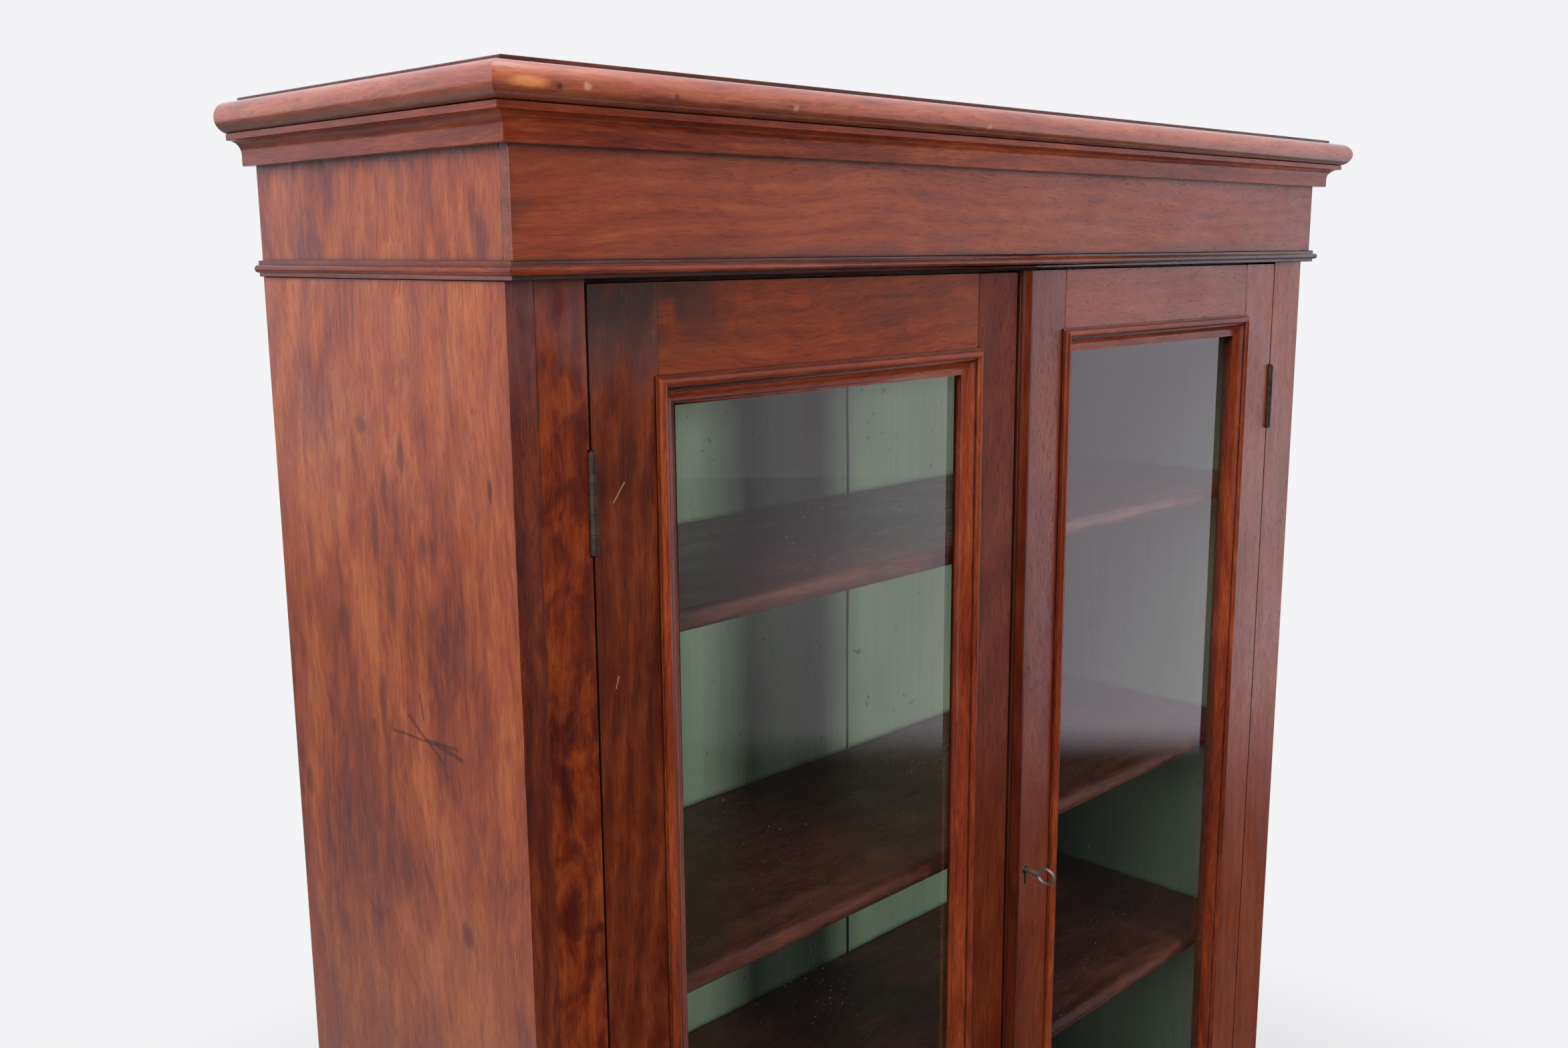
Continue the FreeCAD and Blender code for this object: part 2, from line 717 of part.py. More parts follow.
def key():
    """Shank along Y through the keyhole, bit hanging down, oval bow in an upright plane."""
    bow_y = face_y - shank_out - bow_half_w - bow_r + bow_sink
    shank_y = bow_y + bow_half_w
    end_y = door_back_y - shank_end_gap
    shank = Part.makeCylinder(shank_r, end_y - shank_y, V(key_x, shank_y, key_z), BACK)
    collar_y = face_y - shank_out + collar_out
    collar = Part.makeCylinder(collar_r, collar_len, V(key_x, collar_y, key_z), BACK)
    bit_y = (lock_y + door_back_y - bit_len) / 2
    bit = box(key_x - bit_t / 2, key_x + bit_t / 2, bit_y, bit_y + bit_len, key_z - bit_r, key_z)
    oval = Part.Ellipse(V(0, 0, 0), bow_half_h, bow_half_w).toShape()
    ring = Part.Wire(Part.makeCircle(bow_r, V(bow_half_h, 0, 0), BACK))
    bow = Part.Wire(oval).makePipeShell([ring], True, False)
    spin = FreeCAD.Rotation(BACK, UP, RIGHT, "YXZ")
    bow.Placement = FreeCAD.Placement(V(key_x, bow_y, key_z), spin)
    write("key", fused([shank, collar, bit, bow]))


def bolt_rod(sign, tip_z):
    """Round bolt with a knob; its tip is at tip_z and points up (1) or down (-1)."""
    rod = Part.makeCylinder(rod_r, rod_len, V(rod_x, rod_y, tip_z), -UP * sign)
    knob = Part.makeCylinder(knob_r, knob_out, V(rod_x, rod_y, tip_z - sign * knob_back), BACK)
    return rod.fuse(knob).removeSplitter()


def bolt_places():
    """Each left-door bolt: its direction, its tip at rest and the board it shoots towards."""
    return ((1, ceiling_z - keep_h - rod_gap, ceiling_z), (-1, sill_z + keep_h + rod_gap, sill_z))


def plate_screws():
    places = []
    for sign, tip_z, _ in bolt_places():
        end = tip_z - sign * plate_end_gap
        for offset in (plate_screw_edge, plate_len - plate_screw_edge):
            places.append((V(rod_x, door_back_y + plate_t, end - sign * offset), -BACK))
    return places


def keep_screws():
    places = []
    for sign, _, board_z in bolt_places():
        z = board_z - sign * keep_h
        places.append((V(rod_x, rod_y + keep_hole + keep_back, z), UP * sign, keep_screw_len))
    return places


def bolts():
    names = ("left_door_top_bolt", "left_door_bottom_bolt")
    plates = []
    keeps = []
    for name, (sign, tip_z, board_z) in zip(names, bolt_places()):
        write(name, bolt_rod(sign, tip_z))
        end = tip_z - sign * plate_end_gap
        back = door_back_y + plate_t
        plate = box(rod_x - plate_w / 2, rod_x + plate_w / 2, door_back_y, back,
                    end, end - sign * plate_len)
        guides = []
        for start in (0, plate_len - guide_len):
            z0 = end - sign * start
            guides.append(box(rod_x - guide_w / 2, rod_x + guide_w / 2, back,
                              rod_y + rod_r + guide_wall, z0, z0 - sign * guide_len))
        bore = Part.makeCylinder(rod_r + rod_fit, 2 * plate_len, V(rod_x, rod_y, end + sign * overrun),
                                 -UP * sign)
        plates.append(fused([plate] + guides).cut(bore))
        keep = box(rod_x - keep_w / 2, rod_x + keep_w / 2, stop_y + keep_door_gap,
                   rod_y + keep_hole + 2 * keep_back, board_z, board_z - sign * keep_h)
        hole = box(rod_x - keep_hole, rod_x + keep_hole, rod_y - keep_hole, rod_y + keep_hole,
                   board_z, board_z - 2 * sign * keep_h)
        keeps.append(keep.cut(hole))
    write("left_door_bolt_plates", [drilled(plate, plate_screws()) for plate in plates])
    write("bolt_keeps", [drilled(keep, keep_screws()) for keep in keeps])


os.makedirs("parts", exist_ok=True)
carcass()
back_boards()
plinth()
shelves()
cap()
blocks()
hinges()
left_door()
right_door()
lock()
key()
bolts()
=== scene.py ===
import math

import bmesh
import bpy
from mathutils import Matrix, Vector


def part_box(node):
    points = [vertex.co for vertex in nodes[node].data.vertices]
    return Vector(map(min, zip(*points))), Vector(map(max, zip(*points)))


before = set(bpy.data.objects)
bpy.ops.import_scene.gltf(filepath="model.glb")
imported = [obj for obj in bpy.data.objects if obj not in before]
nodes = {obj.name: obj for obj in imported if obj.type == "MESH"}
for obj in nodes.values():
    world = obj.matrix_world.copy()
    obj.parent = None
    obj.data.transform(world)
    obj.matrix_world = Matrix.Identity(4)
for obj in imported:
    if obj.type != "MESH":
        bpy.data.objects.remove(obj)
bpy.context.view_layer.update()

# Camera: a plain pinhole, in the frame of the part, for an image of 2346 x 1568 pixels
IMAGE_W = 2346.0
IMAGE_H = 1568.0
SENSOR_W = 36.0
FOCAL_PX = 2188.99
CAM_PLACE = (-1.08089, -0.91586, 1.58521)
CAM_YAW = 44.705
CAM_PITCH = 10.657
CAM_ROLL = 0.404
NEAREST_SEEN = 0.05

# Planes of the cabinet, in metres: outer side, front face, front of the bullnose, inner face of a side
HALF_W = 0.545
FACE_Y = -0.14175
BULL_Y = -0.18
INNER_X = 0.524
# Middles of the open joints between the back boards, along X
BOARD_JOINTS = (-0.3514, -0.1698, 0.1068, 0.3749)

# Edge rounding, in metres: radii, then the least angle and length of an edge that is rounded
WOOD_ROUND = 0.0007
METAL_ROUND = 0.0002
ROUND_STEPS = 3
SHARP_ANGLE = math.radians(35)
LEAST_EDGE = 0.03
WELD_REACH = 2e-6
# How near a point lies to a plane that it's on, in metres, and how far a normal turns to face an axis
ON_PLANE = 1e-4
NEAR_PLANE = 0.001
FACING_SHARE = 0.9

# Reach of rubbed edges, of the painted shade in corners, and of a located mark into the wood, in metres
WORN_REACH = 0.0022
CORNER_SHADE_REACH = 0.009
MARK_DEPTH = 0.01

# Where marks, painted shade and painted sheen begin and are full: heights along Z, places along X
LOW_SIDE = (1.25, 0.75)
SHEEN_HEIGHT = (1.46, 1.545)
TOP_SMEAR_HEIGHT = (1.485, 1.55)
TOP_SMEAR_ACROSS = (-0.30, -0.42)
FRIEZE_BAND_HEIGHT = (1.596, 1.574)
FRIEZE_BAND_END = (-0.52, -0.545)
JOINT_HEIGHT = (1.36, 1.47)
JOINT_DEPTH = (0.002, 0.0006)

# Panes: index of refraction, and the width of a fine scratch in metres
PANE_IOR = 1.9
HAIRLINE_WIDTH = 0.0005

# Light: colours, then the directions and places where the mirrored wall and the dim floor begin
SKY_SHADE = (0.90, 0.90, 0.92)
FILL_SHADE = (0.95, 0.97, 1.0)
FILL_STRENGTH = 0.13
MIRRORED_SHADE = (1.10, 1.00, 1.12)
DIM_SHADE = (0.03, 0.03, 0.032)
WALL_SIDE = (-0.92, -0.50)
WALL_FOOT = (-0.37, -0.30)
WALL_LINE = (4.4, 5.0)
DIM_FLOOR = (-0.15, -0.5)
FLOOR_REACH = 9.0
FLOOR_SIDES = 96
FLOOR_FADE = (0.7, 2.1)
FLOOR_NEAR = 0.3
FLOOR_TONES = ((0.78, 0.78, 0.79), (0.84, 0.84, 0.85))
# Each lamp: name, place, target, size, power, colour, and whether it has an image in the panes
LAMP_PLAN = (
    ("left_window", (-2.3, -0.85, 2.6), (-0.5, 0.0, 1.35), (1.7, 1.7), 66.0, (1.0, 0.985, 0.97), True),
    ("front_window", (0.0, -3.4, 1.9), (0.0, 0.0, 1.1), (0.8, 0.8), 54.0, (1.0, 0.98, 0.96), False),
    ("above", (0.0, -0.1, 4.2), (0.0, -0.1, 1.0), (2.4, 2.4), 60.0, (1.0, 1.0, 1.0), True),
)


# Node helpers


class Graph:
    """A node tree being built. Most methods add one node and return its main output."""

    def __init__(self, tree):
        self.tree = tree

    def node(self, kind, **settings):
        made = self.tree.nodes.new(kind)
        for name, value in settings.items():
            setattr(made, name, value)
        return made

    def put(self, socket, value):
        if isinstance(value, bpy.types.NodeSocket):
            self.tree.links.new(value, socket)
        elif value is not None:
            socket.default_value = value

    def math(self, operation, a, b=None, c=None, clamp=False):
        n = self.node("ShaderNodeMath", operation=operation, use_clamp=clamp)
        for socket, value in zip(n.inputs, (a, b, c)):
            self.put(socket, value)
        return n.outputs[0]

    def vector(self, operation, a, b=None, scale=None):
        n = self.node("ShaderNodeVectorMath", operation=operation)
        self.put(n.inputs[0], a)
        if b is not None:
            self.put(n.inputs[1], b)
        if scale is not None:
            self.put(n.inputs["Scale"], scale)
        gives_number = operation in ("DOT_PRODUCT", "LENGTH", "DISTANCE")
        return n.outputs["Value" if gives_number else "Vector"]

    def noise_node(self, **values):
        n = self.node("ShaderNodeTexNoise")
        for name, value in values.items():
            self.put(n.inputs[name], value)
        return n.outputs

    def noise(self, place, scale, detail=3.0, rough=0.5, distortion=0.0):
        more = {"Detail": detail, "Roughness": rough, "Distortion": distortion}
        return self.noise_node(Vector=place, Scale=scale, **more)["Fac"]

    def noise_vector(self, place, scale, detail):
        """Noise with a direction: each part lies round 0."""
        made = self.noise_node(Vector=place, Scale=scale, Detail=detail)
        return self.vector("SUBTRACT", made["Color"], (0.5, 0.5, 0.5))

    def node_xyz(self, vector):
        n = self.node("ShaderNodeSeparateXYZ")
        self.put(n.inputs[0], vector)
        return n.outputs

    def stretched(self, place, factors):
        return self.vector("MULTIPLY", place, factors)

    def ramp(self, value, low, high, to_low=0.0, to_high=1.0):
        """Smooth step of value between low and high."""
        n = self.node("ShaderNodeMapRange", interpolation_type="SMOOTHSTEP")
        for socket, v in zip(n.inputs, (value, low, high, to_low, to_high)):
            self.put(socket, v)
        return n.outputs[0]

    def product(self, *values):
        """All the values multiplied, from the first to the last."""
        result = values[0]
        for value in values[1:]:
            result = self.math("MULTIPLY", result, value)
        return result

    def mix(self, share, a, b):
        n = self.node("ShaderNodeMix", data_type="RGBA")
        self.put(n.inputs["Factor"], share)
        for name, value in (("A", a), ("B", b)):
            self.put(n.inputs[name], value if isinstance(value, bpy.types.NodeSocket) else opaque(value))
        return n.outputs["Result"]

    def bump(self, height, distance, strength):
        n = self.node("ShaderNodeBump")
        self.put(n.inputs["Height"], height)
        self.put(n.inputs["Distance"], distance)
        self.put(n.inputs["Strength"], strength)
        return n.outputs[0]

    def either(self, share, first, second):
        """Shader that is first where share is 0 and second where it is 1."""
        n = self.node("ShaderNodeMixShader")
        for socket, shader in zip(n.inputs, (share, first, second)):
            self.put(socket, shader)
        return n.outputs[0]

    def shader(self, kind, **constants):
        """A shader node with constant values."""
        n = self.node(kind)
        set_constants(n, **constants)
        return n

    def show(self, closure):
        """Makes closure the surface of the material."""
        out = next(n for n in self.tree.nodes if n.bl_idname == "ShaderNodeOutputMaterial")
        self.put(out.inputs["Surface"], closure)


def set_constants(node, **constants):
    """Sets sockets by name, with _ for a space."""
    for name, value in constants.items():
        node.inputs[name.replace("_", " ")].default_value = value


def opaque(shade):
    """A colour with an alpha of 1."""
    return (*shade, 1.0)


def new_material(name):
    """A material, its graph, and its Principled shader, which is its surface."""
    material = bpy.data.materials.new(name)
    material.use_nodes = True
    tree = material.node_tree
    tree.nodes.clear()
    graph = Graph(tree)
    shader = graph.node("ShaderNodeBsdfPrincipled")
    out = graph.node("ShaderNodeOutputMaterial")
    tree.links.new(shader.outputs[0], out.inputs["Surface"])
    return material, graph, shader


def part_place(g):
    """Place in the frame of the part, in metres, which moves with the piece."""
    return g.node("ShaderNodeTexCoord").outputs["Object"]


# Mahogany

GRAIN_TURN = {"Z": (0.0, 0.0, 0.0), "X": (0.0, math.pi / 2, 0.0), "Y": (math.pi / 2, 0.0, 0.0)}
RING_WIDTH = 0.016
GRAIN_DEPTH = 0.0004
EDGE_WEAR = 0.55
OTHER_GRAIN_SEED = 50
# Dark colour of open joints and edges, and of the painted shade in corners
GRIME_AND_SHADE = (0.016, 0.008, 0.006)
# Tones of a board: dark, mid and light, as plain colours
SIDE = ((0.110, 0.022, 0.017), (0.262, 0.056, 0.022), (0.41, 0.118, 0.036))
FRONT = ((0.036, 0.004, 0.002), (0.105, 0.012, 0.002), (0.22, 0.040, 0.005))
EDGE = ((0.026, 0.004, 0.002), (0.075, 0.010, 0.003), (0.15, 0.028, 0.008))
DOOR = ((0.032, 0.005, 0.001), (0.085, 0.011, 0.002), (0.16, 0.030, 0.006))
STILE = ((0.060, 0.008, 0.003), (0.130, 0.019, 0.005), (0.20, 0.045, 0.012))
RAIL = ((0.085, 0.013, 0.004), (0.19, 0.032, 0.009), (0.26, 0.062, 0.017))
FRIEZE = ((0.090, 0.013, 0.004), (0.20, 0.033, 0.008), (0.29, 0.068, 0.016))
MOULD = ((0.050, 0.006, 0.002), (0.150, 0.022, 0.006), (0.30, 0.062, 0.016))
BEAD = ((0.022, 0.003, 0.001), (0.060, 0.008, 0.002), (0.12, 0.020, 0.005))
CAP = ((0.10, 0.018, 0.008), (0.30, 0.064, 0.024), (0.46, 0.140, 0.055))
INSIDE = ((0.034, 0.009, 0.005), (0.090, 0.024, 0.014), (0.16, 0.050, 0.028))


def wood_group():
    """Figure of one board, with the grain along Z of the vector that goes in."""
    tree = bpy.data.node_groups.new("mahogany_figure", "ShaderNodeTree")
    face = tree.interface
    for name, kind, value in (
        ("Place", "NodeSocketVector", (0, 0, 0)),
        ("Heart", "NodeSocketVector", (0, 0, 0)),
        ("Ring", "NodeSocketFloat", RING_WIDTH),
        ("Figure", "NodeSocketFloat", 0.5),
        ("Cloud", "NodeSocketFloat", 0.7),
        ("Mottle", "NodeSocketFloat", 0.0),
        ("Fleck", "NodeSocketFloat", 0.5),
        ("Dark", "NodeSocketColor", (0.05, 0.012, 0.006, 1)),
        ("Mid", "NodeSocketColor", (0.17, 0.04, 0.015, 1)),
        ("Light", "NodeSocketColor", (0.33, 0.10, 0.035, 1)),
    ):
        socket = face.new_socket(name=name, in_out="INPUT", socket_type=kind)
        socket.default_value = value
    for name, kind in (
        ("Color", "NodeSocketColor"),
        ("Roughness", "NodeSocketFloat"),
        ("Height", "NodeSocketFloat"),
    ):
        face.new_socket(name=name, in_out="OUTPUT", socket_type=kind)
    g = Graph(tree)
    inner = g.node("NodeGroupInput").outputs
    place = inner["Place"]
    bend = g.noise_vector(g.stretched(place, (1.0, 1.0, 0.4)), 5.5, 2.0)
    wobble = g.noise_vector(g.stretched(place, (1.0, 1.0, 0.6)), 34.0, 2.0)
    bent = g.vector("ADD", place, g.stretched(bend, (0.07, 0.07, 0.0)))
    bent = g.vector("ADD", bent, g.stretched(wobble, (0.008, 0.008, 0.0)))
    # growth rings round a heart line that leans along the board, which draws the arches
    across = g.stretched(g.vector("SUBTRACT", bent, inner["Heart"]), (1.0, 1.0, 0.2))
    ripple = g.noise(g.stretched(place, (1.0, 1.0, 0.2)), 40.0, 3.0)
    radius = g.math("ADD", g.vector("LENGTH", across), g.math("MULTIPLY", ripple, 0.016))
    turn = g.math("MULTIPLY", g.math("DIVIDE", radius, inner["Ring"]), math.tau)
    ring = g.math("MULTIPLY_ADD", g.math("SINE", turn), 0.5, 0.5)
    # clouds, blotches, streaks, fibres and pores, longer along the grain than across it
    broad = g.noise(g.stretched(place, (1.0, 1.0, 0.6)), 7.0, 3.0, 0.55)
    blotch = g.noise(g.stretched(bent, (1.0, 1.0, 0.36)), 58.0, 5.0, 0.62, 0.6)
    streak = g.noise(g.stretched(bent, (1.0, 1.0, 0.09)), 190.0, 3.0, 0.6)
    fibre = g.noise(g.stretched(bent, (1.0, 1.0, 0.06)), 620.0, 2.0, 0.7)
    pore = g.ramp(g.noise(g.stretched(bent, (1.0, 1.0, 0.1)), 900.0, 1.0, 0.4), 0.60, 0.72)
    fleck = g.ramp(g.noise(g.stretched(bent, (1.0, 1.0, 0.24)), 76.0, 4.0, 0.6, 0.5), 0.57, 0.72)
    mottle = g.noise(g.stretched(bent, (1.0, 1.0, 0.7)), 44.0, 4.0, 0.6, 0.6)
    figure = g.math("MULTIPLY", inner["Figure"], 0.3)
    tone = g.math("MULTIPLY_ADD", g.math("SUBTRACT", ring, 0.5), figure, 0.5)
    for layer, amount in ((blotch, inner["Cloud"]), (broad, 0.55), (streak, 0.32), (fibre, 0.45)):
        tone = g.math("MULTIPLY_ADD", g.math("SUBTRACT", layer, 0.5), amount, tone)
    shade = g.mix(g.ramp(tone, 0.20, 0.52), inner["Dark"], inner["Mid"])
    shade = g.mix(g.ramp(tone, 0.44, 0.80), shade, inner["Light"])
    for share, amount, toward in (
        (g.ramp(mottle, 0.45, 0.72), inner["Mottle"], "Light"),
        (g.ramp(mottle, 0.52, 0.30), inner["Mottle"], "Dark"),
        (fleck, inner["Fleck"], "Dark"),
        (pore, 0.45, "Dark"),
    ):
        shade = stained(g, shade, share, amount, inner[toward])
    smear = g.noise(g.stretched(place, (1.0, 1.0, 0.5)), 26.0, 3.0, 0.6)
    rough = g.ramp(smear, 0.3, 0.7, 0.24, 0.37)
    rough = g.math("MULTIPLY_ADD", pore, 0.16, rough)
    height = g.math("MULTIPLY_ADD", pore, -0.5, g.math("MULTIPLY", fibre, 0.3))
    height = g.math("MULTIPLY_ADD", streak, 0.5, height)
    end = g.node("NodeGroupOutput").inputs
    for name, value in (("Color", shade), ("Roughness", rough), ("Height", height)):
        g.put(end[name], value)


def stained(g, colour, share, amount, stain):
    """The colour with a stain over share times amount of it."""
    return g.mix(g.product(share, amount), colour, stain)


def corner_shade(g):
    """Painted shade: 1 deep in a corner between faces, 0 out in the open."""
    near = g.node("ShaderNodeAmbientOcclusion", samples=6)
    set_constants(near, Distance=CORNER_SHADE_REACH)
    return g.ramp(near.outputs["AO"], 0.84, 0.42)


def figured(g, place, grain, seed, tones, heart, **figure):
    """Colour, roughness and height of one board's figure."""
    turned = g.node("ShaderNodeMapping")
    g.put(turned.inputs["Vector"], place)
    set_constants(turned, Rotation=GRAIN_TURN[grain])
    shift = (seed * 0.731 % 3.0, seed * 1.377 % 3.0, seed * 2.113 % 5.0)
    made = g.node("ShaderNodeGroup", node_tree=bpy.data.node_groups["mahogany_figure"])
    g.put(made.inputs["Place"], g.vector("ADD", turned.outputs[0], shift))
    tones = dict(zip(("Dark", "Mid", "Light"), (opaque(tone) for tone in tones)))
    set_constants(made, Heart=tuple(a + b for a, b in zip(shift, heart)), **tones, **figure)
    return made.outputs


def aged_edges(g, place, colour, rubbed, wear):
    """Rubbed edges, then patchy darkening along the edges, then painted shade in the corners."""
    soft = g.node("ShaderNodeBevel", samples=4)
    set_constants(soft, Radius=WORN_REACH)
    flat = g.node("ShaderNodeNewGeometry").outputs["Normal"]
    turned_by = g.math("SUBTRACT", 1.0, g.vector("DOT_PRODUCT", soft.outputs[0], flat))
    patchy = g.noise(place, 34.0, 3.0, 0.6)
    worn = g.product(g.ramp(turned_by, 0.02, 0.16), g.ramp(patchy, 0.46, 0.64))
    colour = stained(g, colour, worn, wear, rubbed)
    edge_dark = g.product(g.ramp(turned_by, 0.02, 0.2), g.ramp(patchy, 0.5, 0.36))
    colour = stained(g, colour, edge_dark, 0.6, GRIME_AND_SHADE)
    # painted shade in the corners
    return stained(g, colour, corner_shade(g), g.ramp(patchy, 0.25, 0.6, 0.55, 0.9), GRIME_AND_SHADE)


def wood(name, grain, seed, tones, heart=(0.04, 0.09, 0.0), figure=0.5, cloud=0.7, mottle=0.0,
         fleck=0.5, gloss=0.4, polish=1.0, relief=0.45, marks=()):
    """One board's material. marks are functions that draw located marks over the colour."""
    material, g, shader = new_material(name)
    place = part_place(g)
    board = figured(g, place, grain, seed, tones, heart,
                    Ring=RING_WIDTH, Figure=figure, Cloud=cloud, Mottle=mottle, Fleck=fleck)
    colour = board["Color"]
    for mark in marks:
        colour = mark(g, place, colour)
    g.put(shader.inputs["Base Color"], aged_edges(g, place, colour, tones[2], EDGE_WEAR))
    g.put(shader.inputs["Roughness"], g.product(board["Roughness"], polish))
    g.put(shader.inputs["Normal"], g.bump(board["Height"], GRAIN_DEPTH, relief))
    set_constants(shader, Specular_IOR_Level=gloss)
    return material


# Marks on the wood


def camera_axes():
    """Camera directions: ahead, right and down, in the frame of the part."""
    yaw, pitch, roll = (math.radians(a) for a in (CAM_YAW, CAM_PITCH, CAM_ROLL))
    ahead = Vector((math.cos(yaw) * math.cos(pitch), math.sin(yaw) * math.cos(pitch), -math.sin(pitch)))
    right = Vector((math.sin(yaw), -math.cos(yaw), 0.0))
    down = ahead.cross(right)
    level_right = right * math.cos(roll) + down * math.sin(roll)
    level_down = down * math.cos(roll) - right * math.sin(roll)
    return ahead, level_right, level_down


def seen_at(pixel, axis, level):
    """Point of the plane axis = level that the picture shows at a pixel."""
    ahead, right, down = camera_axes()
    u, v = pixel[0] - IMAGE_W / 2, pixel[1] - IMAGE_H / 2
    ray = ahead * FOCAL_PX + right * u + down * v
    start = Vector(CAM_PLACE)
    return start + ray * ((level - start[axis]) / ray[axis])


def on_side(pixel):
    return seen_at(pixel, 0, -HALF_W)


def on_face(pixel):
    return seen_at(pixel, 1, FACE_Y)


def frayed(g, place, amount):
    """Place with a small wander, so that a mark has a natural outline."""
    return g.vector("ADD", place, g.vector("SCALE", g.noise_vector(place, 90.0, 3.0), scale=amount))


def blot(g, place, centre, reach, core=0.3):
    """Share of a soft spot round centre: 1 inside, 0 at reach, which is a length along each axis."""
    away = g.vector("SUBTRACT", place, tuple(centre))
    away = g.vector("MULTIPLY", away, tuple(1.0 / r for r in reach))
    return g.ramp(g.vector("LENGTH", away), 1.0, core)


def curl(g, place, centre, long, wide):
    """Soft dark arc of cathedral figure round centre on the side."""
    away = g.vector("SUBTRACT", place, tuple(centre))
    away = g.vector("MULTIPLY", away, (1.0 / MARK_DEPTH, 1.0 / wide, 1.0 / long))
    return g.ramp(g.math("ABSOLUTE", g.math("SUBTRACT", g.vector("LENGTH", away), 1.0)), 0.35, 0.05)


def scratch(g, place, start, end, width):
    """Share of a thin line from start to end."""
    run = end - start
    away = g.vector("SUBTRACT", place, tuple(start))
    along = g.vector("DOT_PRODUCT", away, tuple(run / run.length_squared))
    along = g.math("MULTIPLY", along, 1.0, clamp=True)
    nearest = g.vector("SCALE", tuple(run), scale=along)
    return g.ramp(g.vector("DISTANCE", away, nearest), width, width * 0.2)


# Colours of the marks, of the painted shade and of the painted sheen
LOW_SHADE = (0.12, 0.022, 0.014)
FLECK_STAIN = (0.075, 0.018, 0.014)
CURL_STAIN = (0.15, 0.030, 0.018)
SCRATCH_STAIN = (0.045, 0.014, 0.011)
SHEEN_COLOUR = (0.125, 0.062, 0.066)
TOP_SMEAR = (0.028, 0.016, 0.013)
FRIEZE_BAND = (0.05, 0.014, 0.008)
UNDERSIDE_SHADE = (0.035, 0.008, 0.005)
BARE_SCRATCH = (0.42, 0.22, 0.15)
# Each knot or dark fleck of the side: pixel of its middle, half width and half height in metres, strength
SIDE_FLECKS = (
    ((733, 735), 0.0035, 0.012, 0.9), ((598, 682), 0.006, 0.022, 0.7), ((514, 927), 0.013, 0.019, 0.7),
    ((539, 636), 0.011, 0.010, 0.6), ((632, 822), 0.008, 0.018, 0.5), ((585, 884), 0.009, 0.038, 0.65),
    ((573, 1041), 0.007, 0.028, 0.6), ((464, 1166), 0.010, 0.016, 0.6), ((560, 1086), 0.005, 0.010, 0.6),
    ((640, 960), 0.009, 0.045, 0.4), ((575, 735), 0.006, 0.026, 0.6), ((700, 1402), 0.010, 0.014, 0.8),
    ((610, 1300), 0.009, 0.034, 0.45), ((540, 1240), 0.008, 0.022, 0.4), ((660, 1075), 0.007, 0.026, 0.5),
    ((560, 800), 0.006, 0.020, 0.5), ((500, 1450), 0.010, 0.030, 0.4),
)
# Arcs of figure on the side: pixel of the middle, half length and half width in metres, strength
SIDE_CURLS = (
    ((480, 760), 0.10, 0.020, 0.35), ((640, 560), 0.09, 0.022, 0.3), ((560, 1330), 0.12, 0.022, 0.4),
    ((700, 900), 0.11, 0.018, 0.3), ((680, 1250), 0.09, 0.020, 0.35), ((520, 1060), 0.07, 0.016, 0.35),
)
# Scratches of the side and of the front: pixels of the two ends, width in metres
SIDE_SCRATCHES = (
    ((589, 1091), (655, 1116), 0.0018), ((652, 1113), (691, 1138), 0.0034),
    ((612, 1070), (666, 1146), 0.0022), ((640, 1108), (684, 1122), 0.0020),
    ((628, 1040), (634, 1076), 0.0020),
)
FACE_SCRATCHES = (((934, 722), (918, 752), 0.0008), ((926, 1012), (922, 1030), 0.0007))
# Hairline scratches of the panes: pixels of the two ends
RIGHT_PANE_SCRATCHES = (
    ((1587, 1220), (1640, 1275)), ((1640, 1275), (1692, 1318)), ((1692, 1318), (1737, 1350)),
    ((1600, 1306), (1668, 1309)), ((1655, 1240), (1676, 1254)), ((1710, 1262), (1732, 1286)),
    ((1590, 1272), (1606, 1270)), ((1600, 1300), (1612, 1296)),
)
LEFT_PANE_SCRATCHES = (
    ((1105, 1148), (1168, 1180)), ((1330, 1242), (1395, 1236)), ((1220, 1428), (1262, 1412)),
)
# Spots of the cornice: pixel of the middle, half width and half height in metres, strength, colour
CORNICE_SPOTS = (
    ((788, 122), 0.020, 0.0045, 0.8, (0.62, 0.235, 0.075)),
    ((877, 129), 0.0045, 0.0040, 0.75, (0.50, 0.27, 0.17)),
    ((835, 128), 0.0035, 0.0030, 0.8, (0.03, 0.008, 0.006)),
    ((1190, 163), 0.004, 0.003, 0.6, (0.45, 0.22, 0.12)),
    ((1012, 146), 0.003, 0.003, 0.7, (0.04, 0.01, 0.007)),
    ((1480, 190), 0.004, 0.003, 0.6, (0.45, 0.22, 0.12)),
)
CORNICE_SPOT_DEPTH = 0.03


def side_marks(g, place, colour):
    """Painted shade darkening the foot, then dark flecks, arcs of figure and the crossed scratches of the
    left side.
    """
    # painted shade: the side darker towards its foot
    low = g.ramp(g.node_xyz(place)[2], *LOW_SIDE)
    colour = stained(g, colour, low, 0.62, LOW_SHADE)
    rough_place = frayed(g, place, 0.006)
    near_place = frayed(g, place, 0.0022)
    for pixel, across, up, amount in SIDE_FLECKS:
        share = blot(g, rough_place, on_side(pixel), (MARK_DEPTH, across, up))
        colour = stained(g, colour, share, amount, FLECK_STAIN)
    for pixel, long, wide, amount in SIDE_CURLS:
        share = curl(g, rough_place, on_side(pixel), long, wide)
        colour = stained(g, colour, share, amount, CURL_STAIN)
    for start, end, width in SIDE_SCRATCHES:
        share = scratch(g, near_place, on_side(start), on_side(end), width)
        colour = stained(g, colour, share, 0.7, SCRATCH_STAIN)
    return colour


def painted_sheen(g, place, colour):
    """Painted sheen: a greyish mauve reflection painted near the top of the front, under the moulding."""
    high = g.ramp(g.node_xyz(place)[2], *SHEEN_HEIGHT)
    patchy = g.ramp(g.noise(g.stretched(place, (1.0, 1.0, 0.6)), 30.0, 3.0, 0.6), 0.3, 0.6)
    return stained(g, colour, g.product(high, patchy), 0.45, SHEEN_COLOUR)


